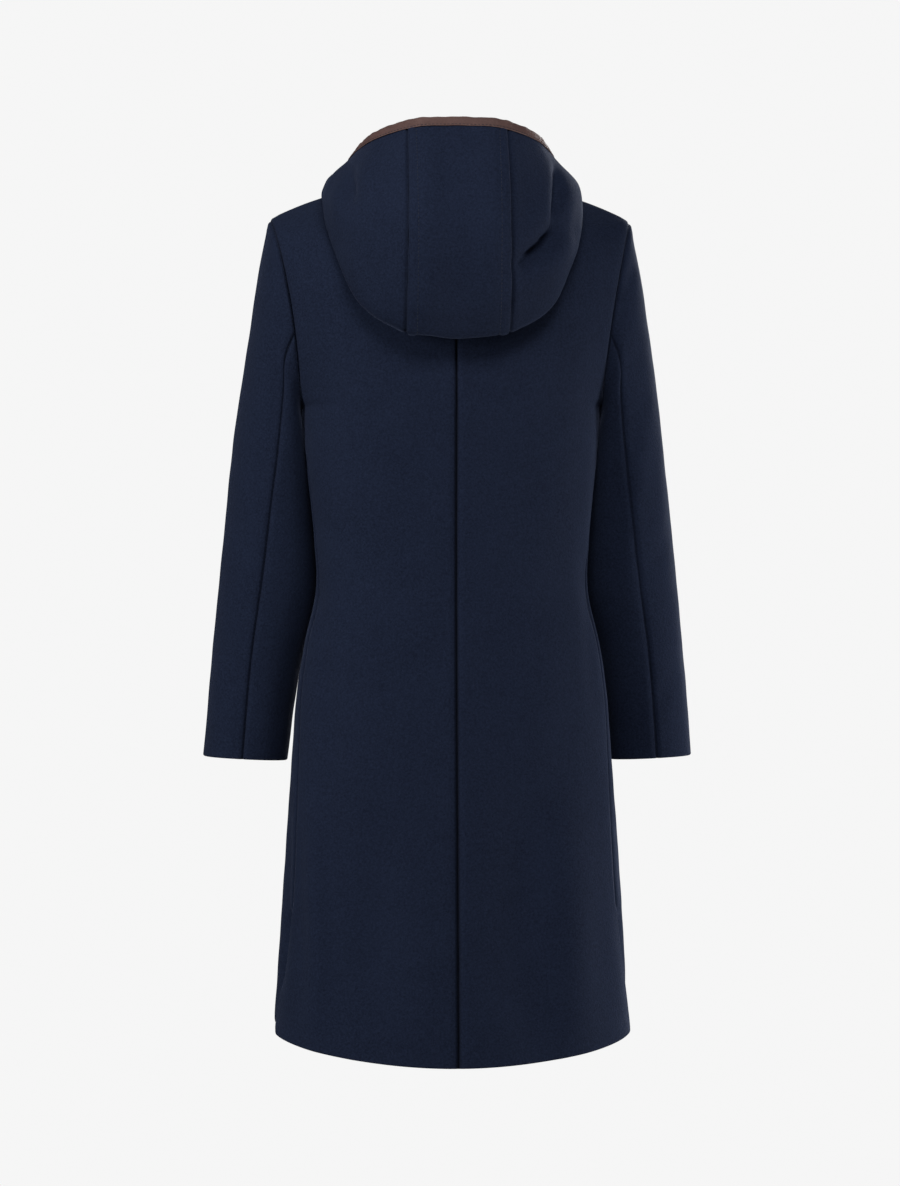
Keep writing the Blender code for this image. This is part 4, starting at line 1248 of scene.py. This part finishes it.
def make_cord(node_name, path, leather):
    """A round leather cord along a path, a little uneven."""
    lengths = lengths_along(path)
    at = np.linspace(0, lengths[-1], max(int(lengths[-1] / CORD_STEP), 8))
    path = smooth_rows(lengths, path, at)
    along = np.gradient(path, axis=0)
    along /= np.linalg.norm(along, axis=1, keepdims=True)
    across = np.cross(along, (0, 1, 0))
    across /= np.linalg.norm(across, axis=1, keepdims=True)
    rise = np.cross(across, along)
    sections = []
    for s, p, side, up in zip(at, path, across, rise):
        radius = CORD_RADIUS * (0.97 + 0.03 * sin(s * 900))
        sections.append([p + radius * (cos(a) * side + sin(a) * up) for a in circle(14)])
    cover(bar_piece(f"{node_name}_cord", sections, leather), node_name)


def make_toggle(node_name, tree, z, height, horn):
    """A horn peg, thickest in the middle, with a waist where the tie goes round it and rounded ends."""
    under = [STEM_X + TOGGLE_LENGTH / 2 * t for t in (-1, -0.5, 0, 0.5, 1)]
    centre = np.array([STEM_X, min(front_surface(tree, x, z)[0][1] for x in under) - height, z])
    sections = []
    for k in range(TOGGLE_RINGS + 1):
        t = -1 + 2 * k / TOGGLE_RINGS
        radius = TOGGLE_RADIUS * (0.62 + 0.38 * cos(t * pi / 2))
        radius *= sqrt(max(1 - max((abs(t) - 0.94) / 0.06, 0) ** 2, 0.02))
        radius -= 0.0004 * np.exp(-((t / 0.10) ** 2))
        along = TOGGLE_LENGTH / 2 * t * 0.995
        sections.append([
            centre + np.array([along, radius * cos(a), radius * sin(a)]) for a in circle(28)
        ])
    cover(bar_piece(f"{node_name}_peg", sections, horn), node_name)


def build_fastenings(tree, leather, horn, thread):
    seat = LAYER_GAP * 2 + LEATHER + CORD_RADIUS
    over_tie = seat + 2 * CORD_RADIUS + CORD_GAP
    above = over_tie + CORD_RADIUS + TOGGLE_RADIUS + CORD_GAP
    paths = []
    for number, z in enumerate(TOGGLE_HEIGHTS, 1):
        paths.append(make_patch(f"patch_right_{number}", tree, PATCH_RIGHT_X, z, 1, leather))
        paths.append(make_patch(f"patch_left_{number}", tree, PATCH_LEFT_X, z, -1, leather))
        loop = hairpin(tree, PATCH_RIGHT_X, STEM_X + LOOP_PAST, z, LOOP_HALF, (seat, over_tie))
        tie = hairpin(tree, PATCH_LEFT_X, STEM_X - TIE_PAST, z, TIE_HALF, (seat, seat))
        make_cord(f"loop_{number}", loop, leather)
        make_cord(f"tie_{number}", tie, leather)
        make_toggle(f"toggle_{number}", tree, z, above, horn)
    thread_piece("patch_stitches", paths, thread)


# ---------------------------------------------------------------- the room

CAMERA_TURN = 176.5  # degrees round the coat; 180 is square behind it
CAMERA_DISTANCE = 4.0
LOOK_AT = (0.0, 0.0, -0.4628)
LENS = 106.5
SENSOR_WIDTH = 36.0
FARTHEST_SEEN = 60.0
ROOM_PALE = (0.92, 0.92, 0.92)
FLOOR_Z = -1.50
FLOOR_RADIUS = 1.9
FLOOR_TONE = 0.46
FILL_COLOR = (0.92, 0.95, 1.0, 1)
FILL_STRENGTH = 0.10
LIGHTS = (  # name, place, size, watts
    ("key above the camera", (-0.05, 1.75, 1.25), (1.0, 0.7), 26),
    ("softbox left", (2.5, 1.7, 0.1), (0.6, 1.6), 46),
    ("low softbox right", (-1.80, 0.05, -1.15), (0.5, 0.9), 25),
    ("front fill", (-1.9, -3.1, 0.9), (1.4, 1.4), 70),
)


def build_camera():
    a = radians(CAMERA_TURN)
    back = Vector((sin(a), -cos(a), 0))
    data = bpy.data.cameras.new("camera")
    data.lens = LENS
    data.sensor_width = SENSOR_WIDTH
    data.clip_end = FARTHEST_SEEN
    camera = bpy.data.objects.new("camera", data)
    camera.location = Vector(LOOK_AT) + back * CAMERA_DISTANCE
    camera.rotation_mode = "QUATERNION"
    camera.rotation_quaternion = (-back).to_track_quat("-Z", "Y")
    bpy.context.scene.collection.objects.link(camera)
    bpy.context.scene.camera = camera


def soft_light(name, place, size, watts):
    data = bpy.data.lights.new(name, "AREA")
    data.shape, data.size, data.size_y = "RECTANGLE", size[0], size[1]
    data.energy = watts
    lamp = bpy.data.objects.new(name, data)
    lamp.location = place
    lamp.visible_camera = False
    lamp.rotation_mode = "QUATERNION"
    lamp.rotation_quaternion = (Vector(LOOK_AT) - Vector(place)).to_track_quat("-Z", "Y")
    bpy.context.scene.collection.objects.link(lamp)


def build_room():
    scene = bpy.context.scene
    scene.view_settings.view_transform = "Standard"
    world = bpy.data.worlds.new("studio")
    world.use_nodes = True
    tree = world.node_tree
    scene.world = world
    seen = node(tree, "ShaderNodeBackground", {"Color": (*ROOM_PALE, 1), "Strength": 1.0})
    fill = node(tree, "ShaderNodeBackground", {"Color": FILL_COLOR, "Strength": FILL_STRENGTH})
    which = node(tree, "ShaderNodeLightPath").outputs["Is Camera Ray"]
    mix = node(tree, "ShaderNodeMixShader", {0: which, 1: fill.outputs[0], 2: seen.outputs[0]})
    tree.links.new(mix.outputs[0], tree.nodes["World Output"].inputs["Surface"])

    ring = [(FLOOR_RADIUS * cos(a), FLOOR_RADIUS * sin(a), FLOOR_Z) for a in circle(96)]
    mesh = bpy.data.meshes.new("floor")
    mesh.from_pydata(ring, [], [tuple(range(len(ring)))])
    mesh.materials.append(floor_finish())
    floor = bpy.data.objects.new("floor", mesh)
    scene.collection.objects.link(floor)

    for light in LIGHTS:
        soft_light(*light)


def build():
    grain, wear = grain_group(), wear_group()
    melton, thread = melton_finish(grain), thread_finish(grain)
    leather, horn = leather_finish(grain, wear), horn_finish(grain, wear)
    build_camera()
    build_room()
    surfaces, whole, seams = build_cloth(melton, thread)
    bind_rim(whole, seams, leather, thread)
    fronts = tree_of([surfaces[name][::2, ::2] for name in ("front_left", "front_right")])
    build_fastenings(fronts, leather, horn, thread)


build()
